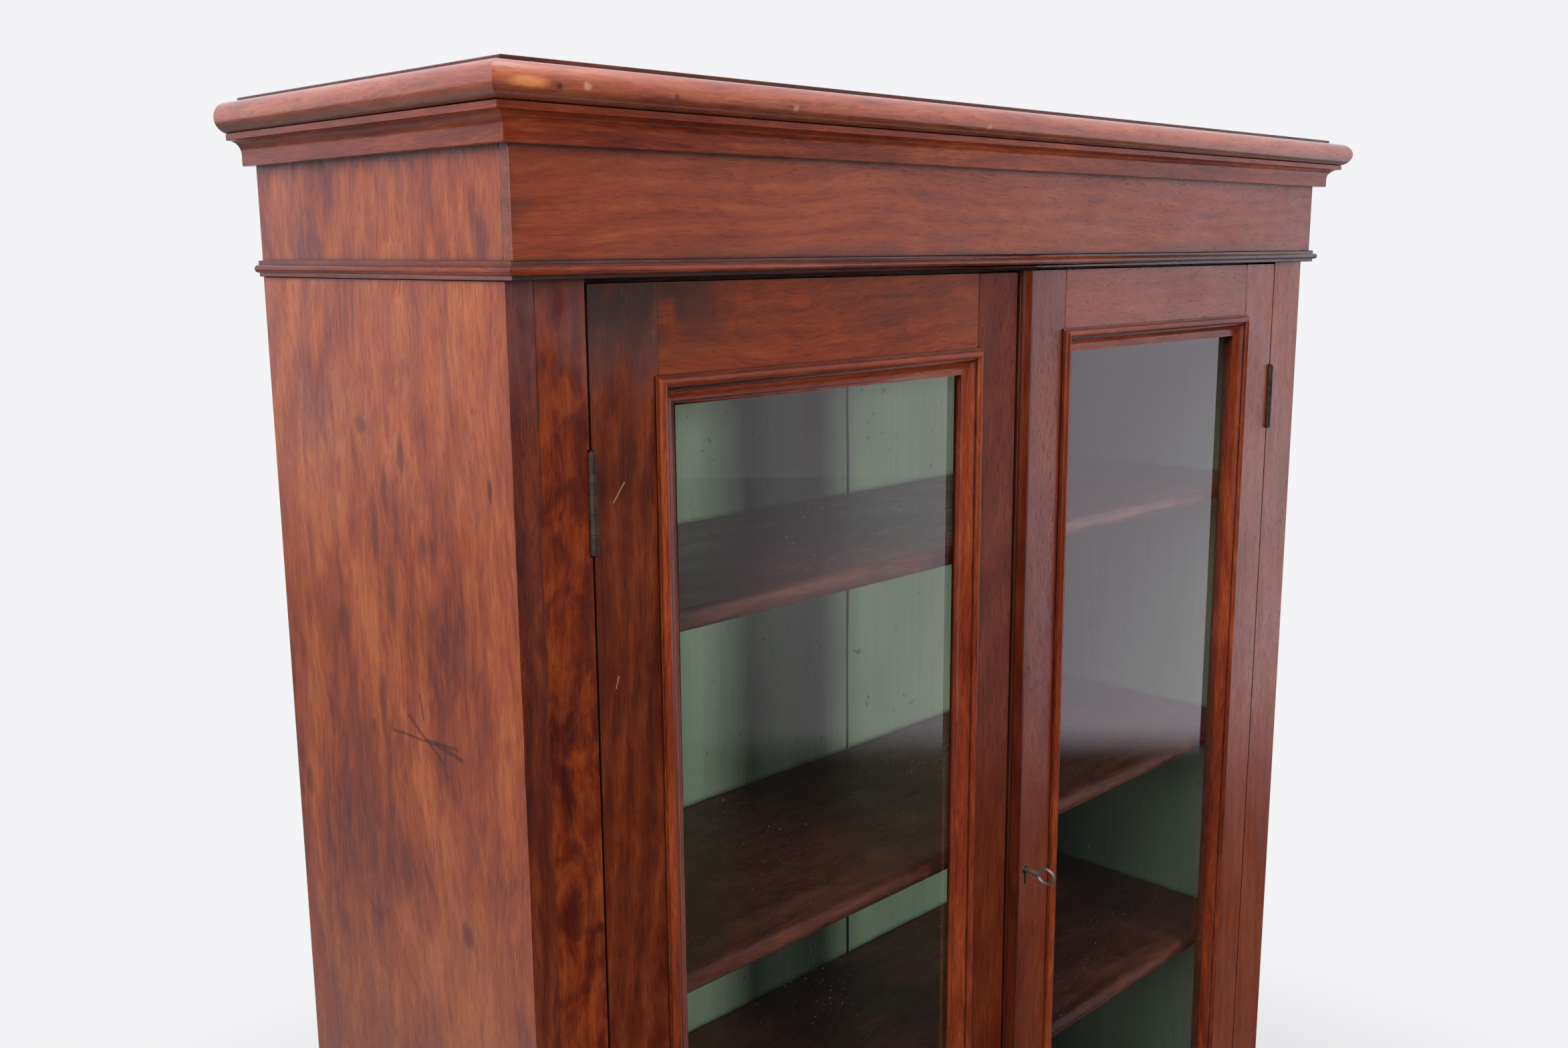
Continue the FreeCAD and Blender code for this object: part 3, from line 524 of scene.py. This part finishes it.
def dark_top_smear(g, place, colour):
    """Black smear near the top of the hinge stile."""
    at = g.node_xyz(place)
    high = g.product(g.ramp(at[2], *TOP_SMEAR_HEIGHT), g.ramp(at[0], *TOP_SMEAR_ACROSS, 0.35, 1.0))
    patchy = g.ramp(g.noise(place, 24.0, 4.0, 0.6), 0.3, 0.55)
    return stained(g, colour, g.product(high, patchy), 0.9, TOP_SMEAR)


def painted_underside_shade(g, place, colour):
    """Painted shade on the lower half of the rounded moulding of the cornice."""
    upward = g.node_xyz(g.node("ShaderNodeNewGeometry").outputs["Normal"])[2]
    patchy = g.ramp(g.noise(place, 20.0, 3.0, 0.6), 0.25, 0.6, 0.6, 1.0)
    return stained(g, colour, g.product(g.ramp(upward, 0.0, -0.85), patchy), 0.7, UNDERSIDE_SHADE)


def cornice_marks(g, place, colour):
    """Rubbed patch, pale knot, dark spot and chips near the left front corner of the cornice."""
    near_place = frayed(g, place, 0.004)
    for pixel, across, up, amount, shade in CORNICE_SPOTS:
        share = blot(g, near_place, seen_at(pixel, 1, BULL_Y), (across, CORNICE_SPOT_DEPTH, up))
        colour = stained(g, colour, share, amount, shade)
    return colour


def dark_frieze_bands(g, place, colour):
    """Dark bands along the lower edge and the left end of the frieze."""
    at = g.node_xyz(place)
    patchy = g.ramp(g.noise(place, 16.0, 4.0, 0.6), 0.35, 0.62)
    band = g.math("MAXIMUM", g.ramp(at[2], *FRIEZE_BAND_HEIGHT), g.ramp(at[0], *FRIEZE_BAND_END))
    return stained(g, colour, g.product(band, patchy), 0.7, FRIEZE_BAND)


def joint_line(g, place, colour):
    """Open joint between the side panel and the stile, which closes further down."""
    at = g.node_xyz(place)
    thin = g.ramp(g.math("ABSOLUTE", g.math("ADD", at[0], INNER_X)), 0.0016, 0.0005)
    high = g.ramp(at[2], *JOINT_HEIGHT)
    ahead = g.ramp(at[1], *(FACE_Y + depth for depth in JOINT_DEPTH))
    return stained(g, colour, g.product(thin, high, ahead), 0.8, GRIME_AND_SHADE)


def pale_scratches(g, place, colour):
    """Fine pale scratches near the left door's upper hinge."""
    for start, end, width in FACE_SCRATCHES:
        share = scratch(g, place, on_face(start), on_face(end), width)
        colour = stained(g, colour, share, 0.6, BARE_SCRATCH)
    return colour


# Other materials


# Old green paint: two tones, brush marks, brown spots, painted shade
PAINT_TONES = ((0.24, 0.34, 0.235), (0.35, 0.455, 0.325))
PAINT_BRUSHED = (0.19, 0.26, 0.18)
PAINT_SPOT = (0.09, 0.07, 0.04)
PAINT_SHADE = (0.035, 0.042, 0.033)
# Bare softwood: two tones and darker clouds
SOFT_TONES = ((0.34, 0.175, 0.085), (0.48, 0.285, 0.150))
SOFT_CLOUD = (0.25, 0.130, 0.066)
# Glass: its colour, no colour where light leaves it, its colour for lamps, dust
GLASS = (0.93, 0.96, 0.94)
CLEAR = (1.0, 1.0, 1.0)
GLASS_SHADE = (0.90, 0.93, 0.91)
DUST = (0.62, 0.60, 0.58)
# Each metal: name, bright, dark, rust, metallic, roughness
HINGE_BRASS = (
    "blackened_brass", (0.050, 0.028, 0.014), (0.008, 0.006, 0.005), (0.03, 0.016, 0.009), 0.3, 0.5)
LOCK_BRASS = ("dull_brass", (0.40, 0.28, 0.12), (0.17, 0.11, 0.05), (0.09, 0.06, 0.03), 0.85, 0.34)
STEEL = ("dull_steel", (0.30, 0.29, 0.28), (0.12, 0.11, 0.10), (0.12, 0.06, 0.03), 0.9, 0.36)
IRON = ("worn_iron", (0.20, 0.17, 0.145), (0.075, 0.06, 0.05), (0.10, 0.055, 0.03), 0.7, 0.40)


def joint_lines(g, place, colour):
    """Dark open joints between the back boards."""
    across = g.node_xyz(place)[0]
    for joint in BOARD_JOINTS:
        thin = g.ramp(g.math("ABSOLUTE", g.math("SUBTRACT", across, joint)), 0.0026, 0.0012)
        colour = stained(g, colour, thin, 0.93, GRIME_AND_SHADE)
    return colour


def brush_marks(g, place):
    """Fine upright lines of the brush."""
    return g.noise(g.stretched(place, (1.0, 1.0, 0.03)), 160.0, 3.0, 0.6)


def green_paint(g, place):
    """Colour of the old green paint on the back boards and on the sides inside."""
    cloud = g.noise(g.stretched(place, (1.0, 1.0, 0.5)), 7.0, 5.0, 0.6)
    colour = g.mix(g.ramp(cloud, 0.3, 0.7), *PAINT_TONES)
    colour = stained(g, colour, g.ramp(brush_marks(g, place), 0.45, 0.8), 0.35, PAINT_BRUSHED)
    colour = joint_lines(g, place, colour)
    spots = g.ramp(g.noise(place, 95.0, 2.0, 0.5), 0.68, 0.78)
    colour = stained(g, colour, spots, 0.6, PAINT_SPOT)
    # painted shade in the corners of the paint
    return stained(g, colour, corner_shade(g), 0.8, GRIME_AND_SHADE)


def painted_boards(name, shaded_share):
    """Old green paint. Its second argument is the share of painted grey shade over all of it."""
    material, g, shader = new_material(name)
    place = part_place(g)
    brushed = brush_marks(g, place)
    g.put(shader.inputs["Base Color"], g.mix(shaded_share, green_paint(g, place), PAINT_SHADE))
    g.put(shader.inputs["Roughness"], g.ramp(brushed, 0.2, 0.8, 0.5, 0.75))
    g.put(shader.inputs["Normal"], g.bump(brushed, 0.0003, 0.5))
    return material


def softwood(name, along, joints):
    """Bare softwood. along has a small factor for the direction that the grain runs in."""
    material, g, shader = new_material(name)
    place = part_place(g)
    lines = g.noise(g.stretched(place, along), 220.0, 4.0, 0.6)
    cloud = g.noise(place, 14.0, 3.0, 0.6)
    colour = g.mix(g.ramp(lines, 0.30, 0.72), *SOFT_TONES)
    colour = stained(g, colour, g.ramp(cloud, 0.5, 0.75), 0.4, SOFT_CLOUD)
    if joints:
        colour = joint_lines(g, place, colour)
    g.put(shader.inputs["Base Color"], colour)
    g.put(shader.inputs["Roughness"], g.ramp(cloud, 0.2, 0.8, 0.6, 0.8))
    g.put(shader.inputs["Normal"], g.bump(lines, 0.0004, 0.5))
    return material


def old_metal(name, bright, dark, rust, metallic, rough):
    """Old metal: bright where rubbed, dark tarnish elsewhere, with spots."""
    material, g, shader = new_material(name)
    place = part_place(g)
    cloud = g.noise(place, 70.0, 5.0, 0.7)
    fine = g.noise(place, 900.0, 3.0, 0.6)
    colour = g.mix(g.ramp(cloud, 0.30, 0.62), dark, bright)
    colour = stained(g, colour, g.ramp(fine, 0.58, 0.74), 0.3, rust)
    g.put(shader.inputs["Base Color"], colour)
    g.put(shader.inputs["Roughness"], g.ramp(cloud, 0.3, 0.7, rough + 0.18, rough))
    g.put(shader.inputs["Normal"], g.bump(fine, 0.00015, 0.6))
    set_constants(shader, Metallic=metallic)
    return material


def dust(g, place, pane_y, scratches):
    """Share of a pane's face that specks of dust and hairline scratches cover."""
    specks = g.ramp(g.noise(place, 420.0, 1.0, 0.4), 0.735, 0.77)
    patchy = g.ramp(g.noise(place, 7.0, 2.0, 0.5), 0.42, 0.62)
    share = g.product(specks, patchy, 0.12)
    bent = g.vector("ADD", place, g.vector("SCALE", g.noise_vector(place, 16.0, 1.0), scale=0.03))
    broken = g.ramp(g.noise(place, 130.0, 2.0, 0.5), 0.42, 0.62, 0.01, 0.09)
    for start, end in scratches:
        line = scratch(g, bent, seen_at(start, 1, pane_y), seen_at(end, 1, pane_y), HAIRLINE_WIDTH)
        share = g.math("MULTIPLY_ADD", line, broken, share, clamp=True)
    return share


def pane(name, seed, pane_y, scratches):
    """Old drawn glass: clear for lamps, slightly wavy, with hairline scratches and dust."""
    material, g, glass = new_material(name)
    set_constants(glass, Base_Color=opaque(GLASS), Transmission_Weight=1.0, Roughness=0.0, IOR=PANE_IOR)
    place = g.vector("ADD", part_place(g), (seed, seed * 0.7, seed * 1.3))
    wave = g.noise(g.stretched(place, (1.0, 1.0, 0.35)), 9.0, 2.0, 0.5)
    g.put(glass.inputs["Normal"], g.bump(wave, 0.004, 0.05))
    # one face of the pane mirrors for both, so that its image of the room is a single one
    leaving = g.shader("ShaderNodeBsdfRefraction", Color=opaque(CLEAR), Roughness=0.0, IOR=PANE_IOR)
    backfacing = g.node("ShaderNodeNewGeometry").outputs["Backfacing"]
    faces = g.either(backfacing, glass.outputs[0], leaving.outputs[0])
    grey = g.shader("ShaderNodeBsdfDiffuse", Color=opaque(DUST))
    dusty = g.either(dust(g, part_place(g), pane_y, scratches), faces, grey.outputs[0])
    clear = g.shader("ShaderNodeBsdfTransparent", Color=opaque(GLASS_SHADE))
    path = g.node("ShaderNodeLightPath").outputs
    lets_light_by = g.math("ADD", path["Is Shadow Ray"], path["Is Diffuse Ray"], clamp=True)
    g.show(g.either(lets_light_by, dusty, clear.outputs[0]))
    return material


# Dressing of the nodes


def smooth_group():
    """Geometry nodes that shade smooth and keep edges sharper than the limit."""
    tree = bpy.data.node_groups.new("smooth_by_angle", "GeometryNodeTree")
    tree.interface.new_socket(name="Geometry", in_out="INPUT", socket_type="NodeSocketGeometry")
    tree.interface.new_socket(name="Geometry", in_out="OUTPUT", socket_type="NodeSocketGeometry")
    make, link = tree.nodes.new, tree.links.new
    start, end = make("NodeGroupInput"), make("NodeGroupOutput")
    faces, edges = make("GeometryNodeSetShadeSmooth"), make("GeometryNodeSetShadeSmooth")
    edges.domain = "EDGE"
    angle, compare = make("GeometryNodeInputMeshEdgeAngle"), make("FunctionNodeCompare")
    compare.operation = "LESS_THAN"
    compare.inputs[1].default_value = SHARP_ANGLE
    link(angle.outputs["Unsigned Angle"], compare.inputs[0])
    link(start.outputs[0], faces.inputs["Geometry"])
    link(faces.outputs[0], edges.inputs["Geometry"])
    link(compare.outputs[0], edges.inputs["Shade Smooth"])
    link(edges.outputs[0], end.inputs[0])


def key_of(a, b):
    """The same key for an edge from a to b and from b to a."""
    ends = [tuple(round(x, 5) for x in p) for p in (a, b)]
    return tuple(sorted(ends))


def in_joint(point):
    """True on the flush joint between a side panel and the stile in front of it."""
    return abs(abs(point.x) - INNER_X) < ON_PLANE and abs(point.y - FACE_Y) < ON_PLANE


def long_edges(mesh):
    """Keys of the sharp convex edges that are long enough to be rounded."""
    made = bmesh.new()
    made.from_mesh(mesh)
    bmesh.ops.remove_doubles(made, verts=made.verts, dist=WELD_REACH)
    found = set()
    for edge in made.edges:
        sharp = len(edge.link_faces) == 2 and edge.is_convex and edge.calc_face_angle(0.0) > SHARP_ANGLE
        if sharp and edge.calc_length() > LEAST_EDGE and not all(in_joint(v.co) for v in edge.verts):
            found.add(key_of(*(v.co for v in edge.verts)))
    made.free()
    return found


def round_edges(obj, width):
    """Welds the mesh, then rounds its long sharp edges and shades it smooth."""
    mesh = obj.data
    if "custom_normal" in mesh.attributes:
        mesh.attributes.remove(mesh.attributes["custom_normal"])
    wanted = long_edges(mesh)
    weight = mesh.attributes.new("bevel_weight_edge", "FLOAT", "EDGE")
    values = []
    for edge in mesh.edges:
        a, b = (mesh.vertices[i].co for i in edge.vertices)
        values.append(1.0 if key_of(a, b) in wanted else 0.0)
    weight.data.foreach_set("value", values)
    weld = obj.modifiers.new("weld", "WELD")
    weld.merge_threshold = WELD_REACH
    bevel = obj.modifiers.new("round", "BEVEL")
    bevel.limit_method = "WEIGHT"
    bevel.width = width
    bevel.segments = ROUND_STEPS
    bevel.use_clamp_overlap = True
    smooth = obj.modifiers.new("smooth", "NODES")
    smooth.node_group = bpy.data.node_groups["smooth_by_angle"]
    even = obj.modifiers.new("even", "WEIGHTED_NORMAL")
    even.keep_sharp = True


def dress(name, material, width=WOOD_ROUND):
    """Gives a node its material and rounded edges."""
    obj = nodes[name]
    obj.data.materials.clear()
    obj.data.materials.append(material)
    round_edges(obj, width)


def dress_plan():
    """For each wooden node: direction of the grain, seed, tones and what else its board has."""
    inside = {"gloss": 0.25}
    side = {"figure": 0.6, "fleck": 0.4, "cloud": 0.65, "gloss": 0.4}
    calm = {"cloud": 0.2, "figure": 0.25, "fleck": 0.12}
    cap = {"cloud": 0.3, "figure": 0.3, "fleck": 0.1, "gloss": 1.0, "polish": 0.65, "relief": 0.12}
    bolection = {**calm, "gloss": 0.4, "polish": 0.7, "relief": 0.15}
    dull_cap = {**cap, "gloss": 0.4}
    # the bullnose gets painted shade on its underside
    bull = {**cap, "marks": (painted_underside_shade,)}
    # the front stiles carry the painted sheen near the top
    side_heart, stile_marks = (0.05, 0.02, 0.9), (painted_sheen, dark_top_smear, pale_scratches)
    frieze = {"cloud": 0.35, "figure": 0.4, "fleck": 0.25, "gloss": 0.7, "marks": (dark_frieze_bands,)}
    return (
        ("side_panel_left", "Z", 1, SIDE, {**side, "heart": side_heart, "marks": (side_marks,)}),
        ("side_panel_right", "Z", 2, SIDE, {**side, "heart": (-0.05, -0.05, 0.7)}),
        ("front_stile_left", "Z", 3, FRONT,
         {"cloud": 0.5, "mottle": 0.7, "gloss": 0.3, "marks": (painted_sheen, joint_line)}),
        ("front_stile_right", "Z", 4, RAIL, {**calm, "gloss": 0.9}),
        ("left_door_hinge_stile", "Z", 5, DOOR,
         {"cloud": 0.5, "mottle": 0.3, "gloss": 0.3, "marks": stile_marks}),
        ("left_door_meeting_stile", "Z", 6, DOOR, {**calm, "gloss": 0.2}),
        ("left_door_top_rail", "X", 7, RAIL, {**calm, "gloss": 0.25, "marks": (dark_top_smear,)}),
        ("left_door_bottom_rail", "X", 8, DOOR, {**calm, "gloss": 0.4}),
        ("left_door_glazing_moulding", "Z", 9, MOULD, bolection),
        ("left_door_glass_beads", "Z", 10, INSIDE, {}),
        ("right_door_hinge_stile", "Z", 11, RAIL, {**calm, "gloss": 1.0}),
        ("right_door_meeting_stile", "Z", 12, STILE, {**calm, "gloss": 0.9}),
        ("right_door_meeting_bead", "Z", 13, BEAD, {**calm, "gloss": 0.2, "polish": 0.7}),
        ("right_door_top_rail", "X", 14, RAIL, {**calm, "gloss": 0.9}),
        ("right_door_bottom_rail", "X", 15, RAIL, {**calm, "gloss": 0.7}),
        ("right_door_glazing_moulding", "Z", 16, MOULD, bolection),
        ("right_door_glass_beads", "Z", 17, INSIDE, {}),
        ("frieze_front", "X", 18, FRIEZE, frieze),
        ("frieze_side_left", "Z", 19, SIDE, {**side, "mottle": 0.2}),
        ("frieze_side_right", "Z", 20, SIDE, {**side, "mottle": 0.2}),
        ("astragal_mouldings", "X", 21, MOULD, dull_cap),
        ("cornice_bullnose_front", "X", 22, CAP, {**cap, "marks": (painted_underside_shade, cornice_marks)}),
        ("cornice_bullnose_left", "Y", 23, CAP, bull),
        ("cornice_bullnose_right", "Y", 24, CAP, bull),
        ("cornice_cove_front", "X", 25, MOULD, dull_cap),
        ("cornice_cove_left", "Y", 26, MOULD, dull_cap),
        ("cornice_cove_right", "Y", 27, MOULD, dull_cap),
        ("cap_top_board", "X", 28, INSIDE, {}),
        ("carcass_top", "X", 29, INSIDE, inside),
        ("carcass_bottom", "X", 30, INSIDE, inside),
        ("plinth_front", "X", 31, DOOR, {"cloud": 0.5}),
        ("plinth_side_left", "Y", 32, SIDE, side),
        ("plinth_side_right", "Y", 33, SIDE, side),
        ("plinth_mouldings", "X", 34, MOULD, cap),
        ("shelf_1", "X", 35, INSIDE, inside),
        ("shelf_2", "X", 36, INSIDE, inside),
        ("shelf_3", "X", 37, INSIDE, inside),
        ("shelf_4", "X", 38, INSIDE, inside),
    )


def face_slots(name, front, inside):
    """Front edge and inner face of a side panel get materials of their own."""
    mesh = nodes[name].data
    nodes[name].modifiers["round"].material = 1
    mesh.materials.append(front)
    mesh.materials.append(inside)
    for face in mesh.polygons:
        if face.normal.y < -FACING_SHARE and face.center.y < FACE_Y + NEAR_PLANE:
            face.material_index = 1
        elif abs(face.normal.x) > FACING_SHARE and abs(face.center.x) < INNER_X + NEAR_PLANE:
            face.material_index = 2


def second_slot(name, material, chosen):
    """The faces that chosen(face, low, high) names get the material."""
    mesh = nodes[name].data
    low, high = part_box(name)
    mesh.materials.append(material)
    for face in mesh.polygons:
        if chosen(face, low, high):
            face.material_index = 1


def at_rear(face, low, high):
    """True on the unpainted rear of the back boards."""
    return face.normal.y > FACING_SHARE


def runs_across(face, low, high):
    """True on the lengths of a frame of mouldings that run across the door."""
    at = face.center
    return min(at.z - low[2], high[2] - at.z) < min(at.x - low[0], high[0] - at.x)


def runs_back(face, low, high):
    """True on the side returns of a moulding that goes round the case."""
    at = face.center
    return min(at.x - low[0], high[0] - at.x) < at.y - low[1]


def dress_wood():
    """Every wooden node, and the lengths of mouldings whose grain runs another way."""
    for name, grain, seed, tones, more in dress_plan():
        dress(name, wood(name + "_wood", grain, seed, tones, **more))
        other = seed + OTHER_GRAIN_SEED
        if name.endswith(("glazing_moulding", "glass_beads")):
            second_slot(name, wood(name + "_wood_across", "X", other, tones, **more), runs_across)
        elif name in ("astragal_mouldings", "plinth_mouldings"):
            second_slot(name, wood(name + "_wood_back", "Y", other, tones, **more), runs_back)


def dress_metal():
    """Hinges, lock, bolts, screws and key."""
    for metal, names in (
        (HINGE_BRASS, ("hinge_frame_leaves", "hinge_pins", "left_door_hinge_leaves",
                       "right_door_hinge_leaves")),
        (LOCK_BRASS, ("lock_case", "lock_strike_plate", "keyhole_escutcheon", "left_door_bolt_plates",
                      "left_door_top_bolt", "left_door_bottom_bolt")),
        (STEEL, ("lock_bolt", "carcass_screws", "left_door_screws", "right_door_screws", "bolt_keeps")),
        (IRON, ("key",)),
    ):
        material = old_metal(*metal)
        for name in names:
            dress(name, material, METAL_ROUND)


def dress_paint_and_softwood():
    """Painted and bare boards, and the inner faces of the sides."""
    green = painted_boards("old_green_paint", 0.0)
    # the inner faces of the sides get the green paint half covered by painted shade
    sides = painted_boards("shaded_green_paint_of_sides", 0.5)
    edge = wood("side_panel_left_front_edge", "Z", 60, EDGE, cloud=0.5, gloss=0.5, marks=(painted_sheen,))
    face_slots("side_panel_left", edge, sides)
    face_slots("side_panel_right", nodes["front_stile_right"].data.materials[0], sides)
    dress("back_boards", green)
    second_slot("back_boards", softwood("old_softwood_upright", (1.0, 1.0, 0.05), True), at_rear)
    dress("shelf_bearers", green)
    bare = softwood("old_softwood", (0.05, 1.0, 1.0), False)
    for name in ("glue_blocks_and_stops", "cap_rails"):
        dress(name, bare)


def dress_panes():
    """The scratches of a pane lie on its front face."""
    for side, seed, scratches in (
        ("left", 1.0, LEFT_PANE_SCRATCHES),
        ("right", 2.0, RIGHT_PANE_SCRATCHES),
    ):
        name = side + "_door_glass"
        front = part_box(name)[0][1]
        dress(name, pane(side + "_pane", seed, front, scratches), METAL_ROUND)


# Stage: floor, sky, lamps, camera


def sees_background(g):
    """1 for rays from the camera or through glass, so that they meet the pale background."""
    path = g.node("ShaderNodeLightPath").outputs
    return g.math("ADD", path["Is Camera Ray"], path["Is Transmission Ray"], clamp=True)


def is_mirrored(g):
    """1 for rays that a glossy face sends out."""
    return g.node("ShaderNodeLightPath").outputs["Is Glossy Ray"]


def sky():
    """Pale background. A polished face mirrors pale walls at both sides and a dim room in front."""
    world = bpy.data.worlds.new("sky")
    bpy.context.scene.world = world
    world.use_nodes = True
    tree = world.node_tree
    tree.nodes.clear()
    g = Graph(tree)
    way = g.node_xyz(g.node("ShaderNodeTexCoord").outputs["Generated"])
    wall = g.product(g.ramp(way[1], *WALL_SIDE), g.ramp(way[2], *WALL_FOOT))
    mirrored = g.mix(wall, DIM_SHADE, MIRRORED_SHADE)
    fill = g.shader("ShaderNodeBackground", Color=opaque(FILL_SHADE), Strength=FILL_STRENGTH)
    pale = g.node("ShaderNodeBackground")
    g.put(pale.inputs["Color"], g.mix(is_mirrored(g), SKY_SHADE, mirrored))
    seen = g.math("ADD", sees_background(g), is_mirrored(g), clamp=True)
    out = g.node("ShaderNodeOutputWorld")
    g.put(out.inputs[0], g.either(seen, fill.outputs[0], pale.outputs[0]))


def floor():
    """Pale floor that takes the shadow near the cabinet and fades into the background."""
    bpy.ops.mesh.primitive_circle_add(
        vertices=FLOOR_SIDES, radius=FLOOR_REACH, fill_type="NGON", location=(0, 0, 0))
    disc = bpy.context.object
    disc.name = "floor"
    material, g, shader = new_material("pale_floor")
    place = part_place(g)
    speckle = g.noise(place, 60.0, 3.0, 0.6)
    g.put(shader.inputs["Base Color"], g.mix(speckle, *FLOOR_TONES))
    set_constants(shader, Roughness=0.7, Specular_IOR_Level=0.2)
    glow = g.shader("ShaderNodeEmission", Color=opaque(SKY_SHADE))
    away = g.ramp(g.vector("LENGTH", place), *FLOOR_FADE, FLOOR_NEAR, 1.0)
    faded = g.either(g.product(away, sees_background(g)), shader.outputs[0], glow.outputs[0])
    # a polished face mirrors a dim floor in front, and the foot of a pale wall beyond it
    at = g.node_xyz(place)
    toward = g.node_xyz(g.vector("NORMALIZE", place))
    beyond = g.ramp(g.math("SUBTRACT", at[0], at[1]), *WALL_LINE)
    wall = g.product(beyond, g.ramp(toward[1], *WALL_SIDE))
    mirrored = g.node("ShaderNodeEmission")
    g.put(mirrored.inputs["Color"], g.mix(wall, DIM_SHADE, MIRRORED_SHADE))
    in_front = g.product(g.ramp(at[1], *DIM_FLOOR), is_mirrored(g))
    g.show(g.either(in_front, faded, mirrored.outputs[0]))
    disc.data.materials.append(material)


def lamp(name, place, target, size, power, shade, glint):
    """A soft square lamp that looks at the target. Without a glint it has no image in the panes."""
    data = bpy.data.lights.new(name, "AREA")
    data.shape = "RECTANGLE"
    data.size, data.size_y = size
    data.energy = power
    data.color = shade
    obj = bpy.data.objects.new(name, data)
    bpy.context.scene.collection.objects.link(obj)
    obj.location = place
    obj.rotation_mode = "QUATERNION"
    obj.rotation_quaternion = (Vector(target) - Vector(place)).to_track_quat("-Z", "Y")
    obj.visible_glossy = glint
    obj.visible_transmission = glint


def camera():
    """The camera of the picture: level axes turned by yaw, pitch and roll."""
    ahead, right, down = camera_axes()
    data = bpy.data.cameras.new("camera")
    data.sensor_width = SENSOR_W
    data.lens = FOCAL_PX / IMAGE_W * SENSOR_W
    data.clip_start = NEAREST_SEEN
    obj = bpy.data.objects.new("camera", data)
    bpy.context.scene.collection.objects.link(obj)
    turned = Matrix((right, -down, -ahead)).transposed()
    obj.matrix_world = Matrix.Translation(Vector(CAM_PLACE)) @ turned.to_4x4()
    bpy.context.scene.camera = obj


wood_group()
smooth_group()
dress_wood()
dress_metal()
dress_paint_and_softwood()
dress_panes()
sky()
floor()
for plan in LAMP_PLAN:
    lamp(*plan)
camera()
bpy.context.scene.view_settings.view_transform = "Standard"
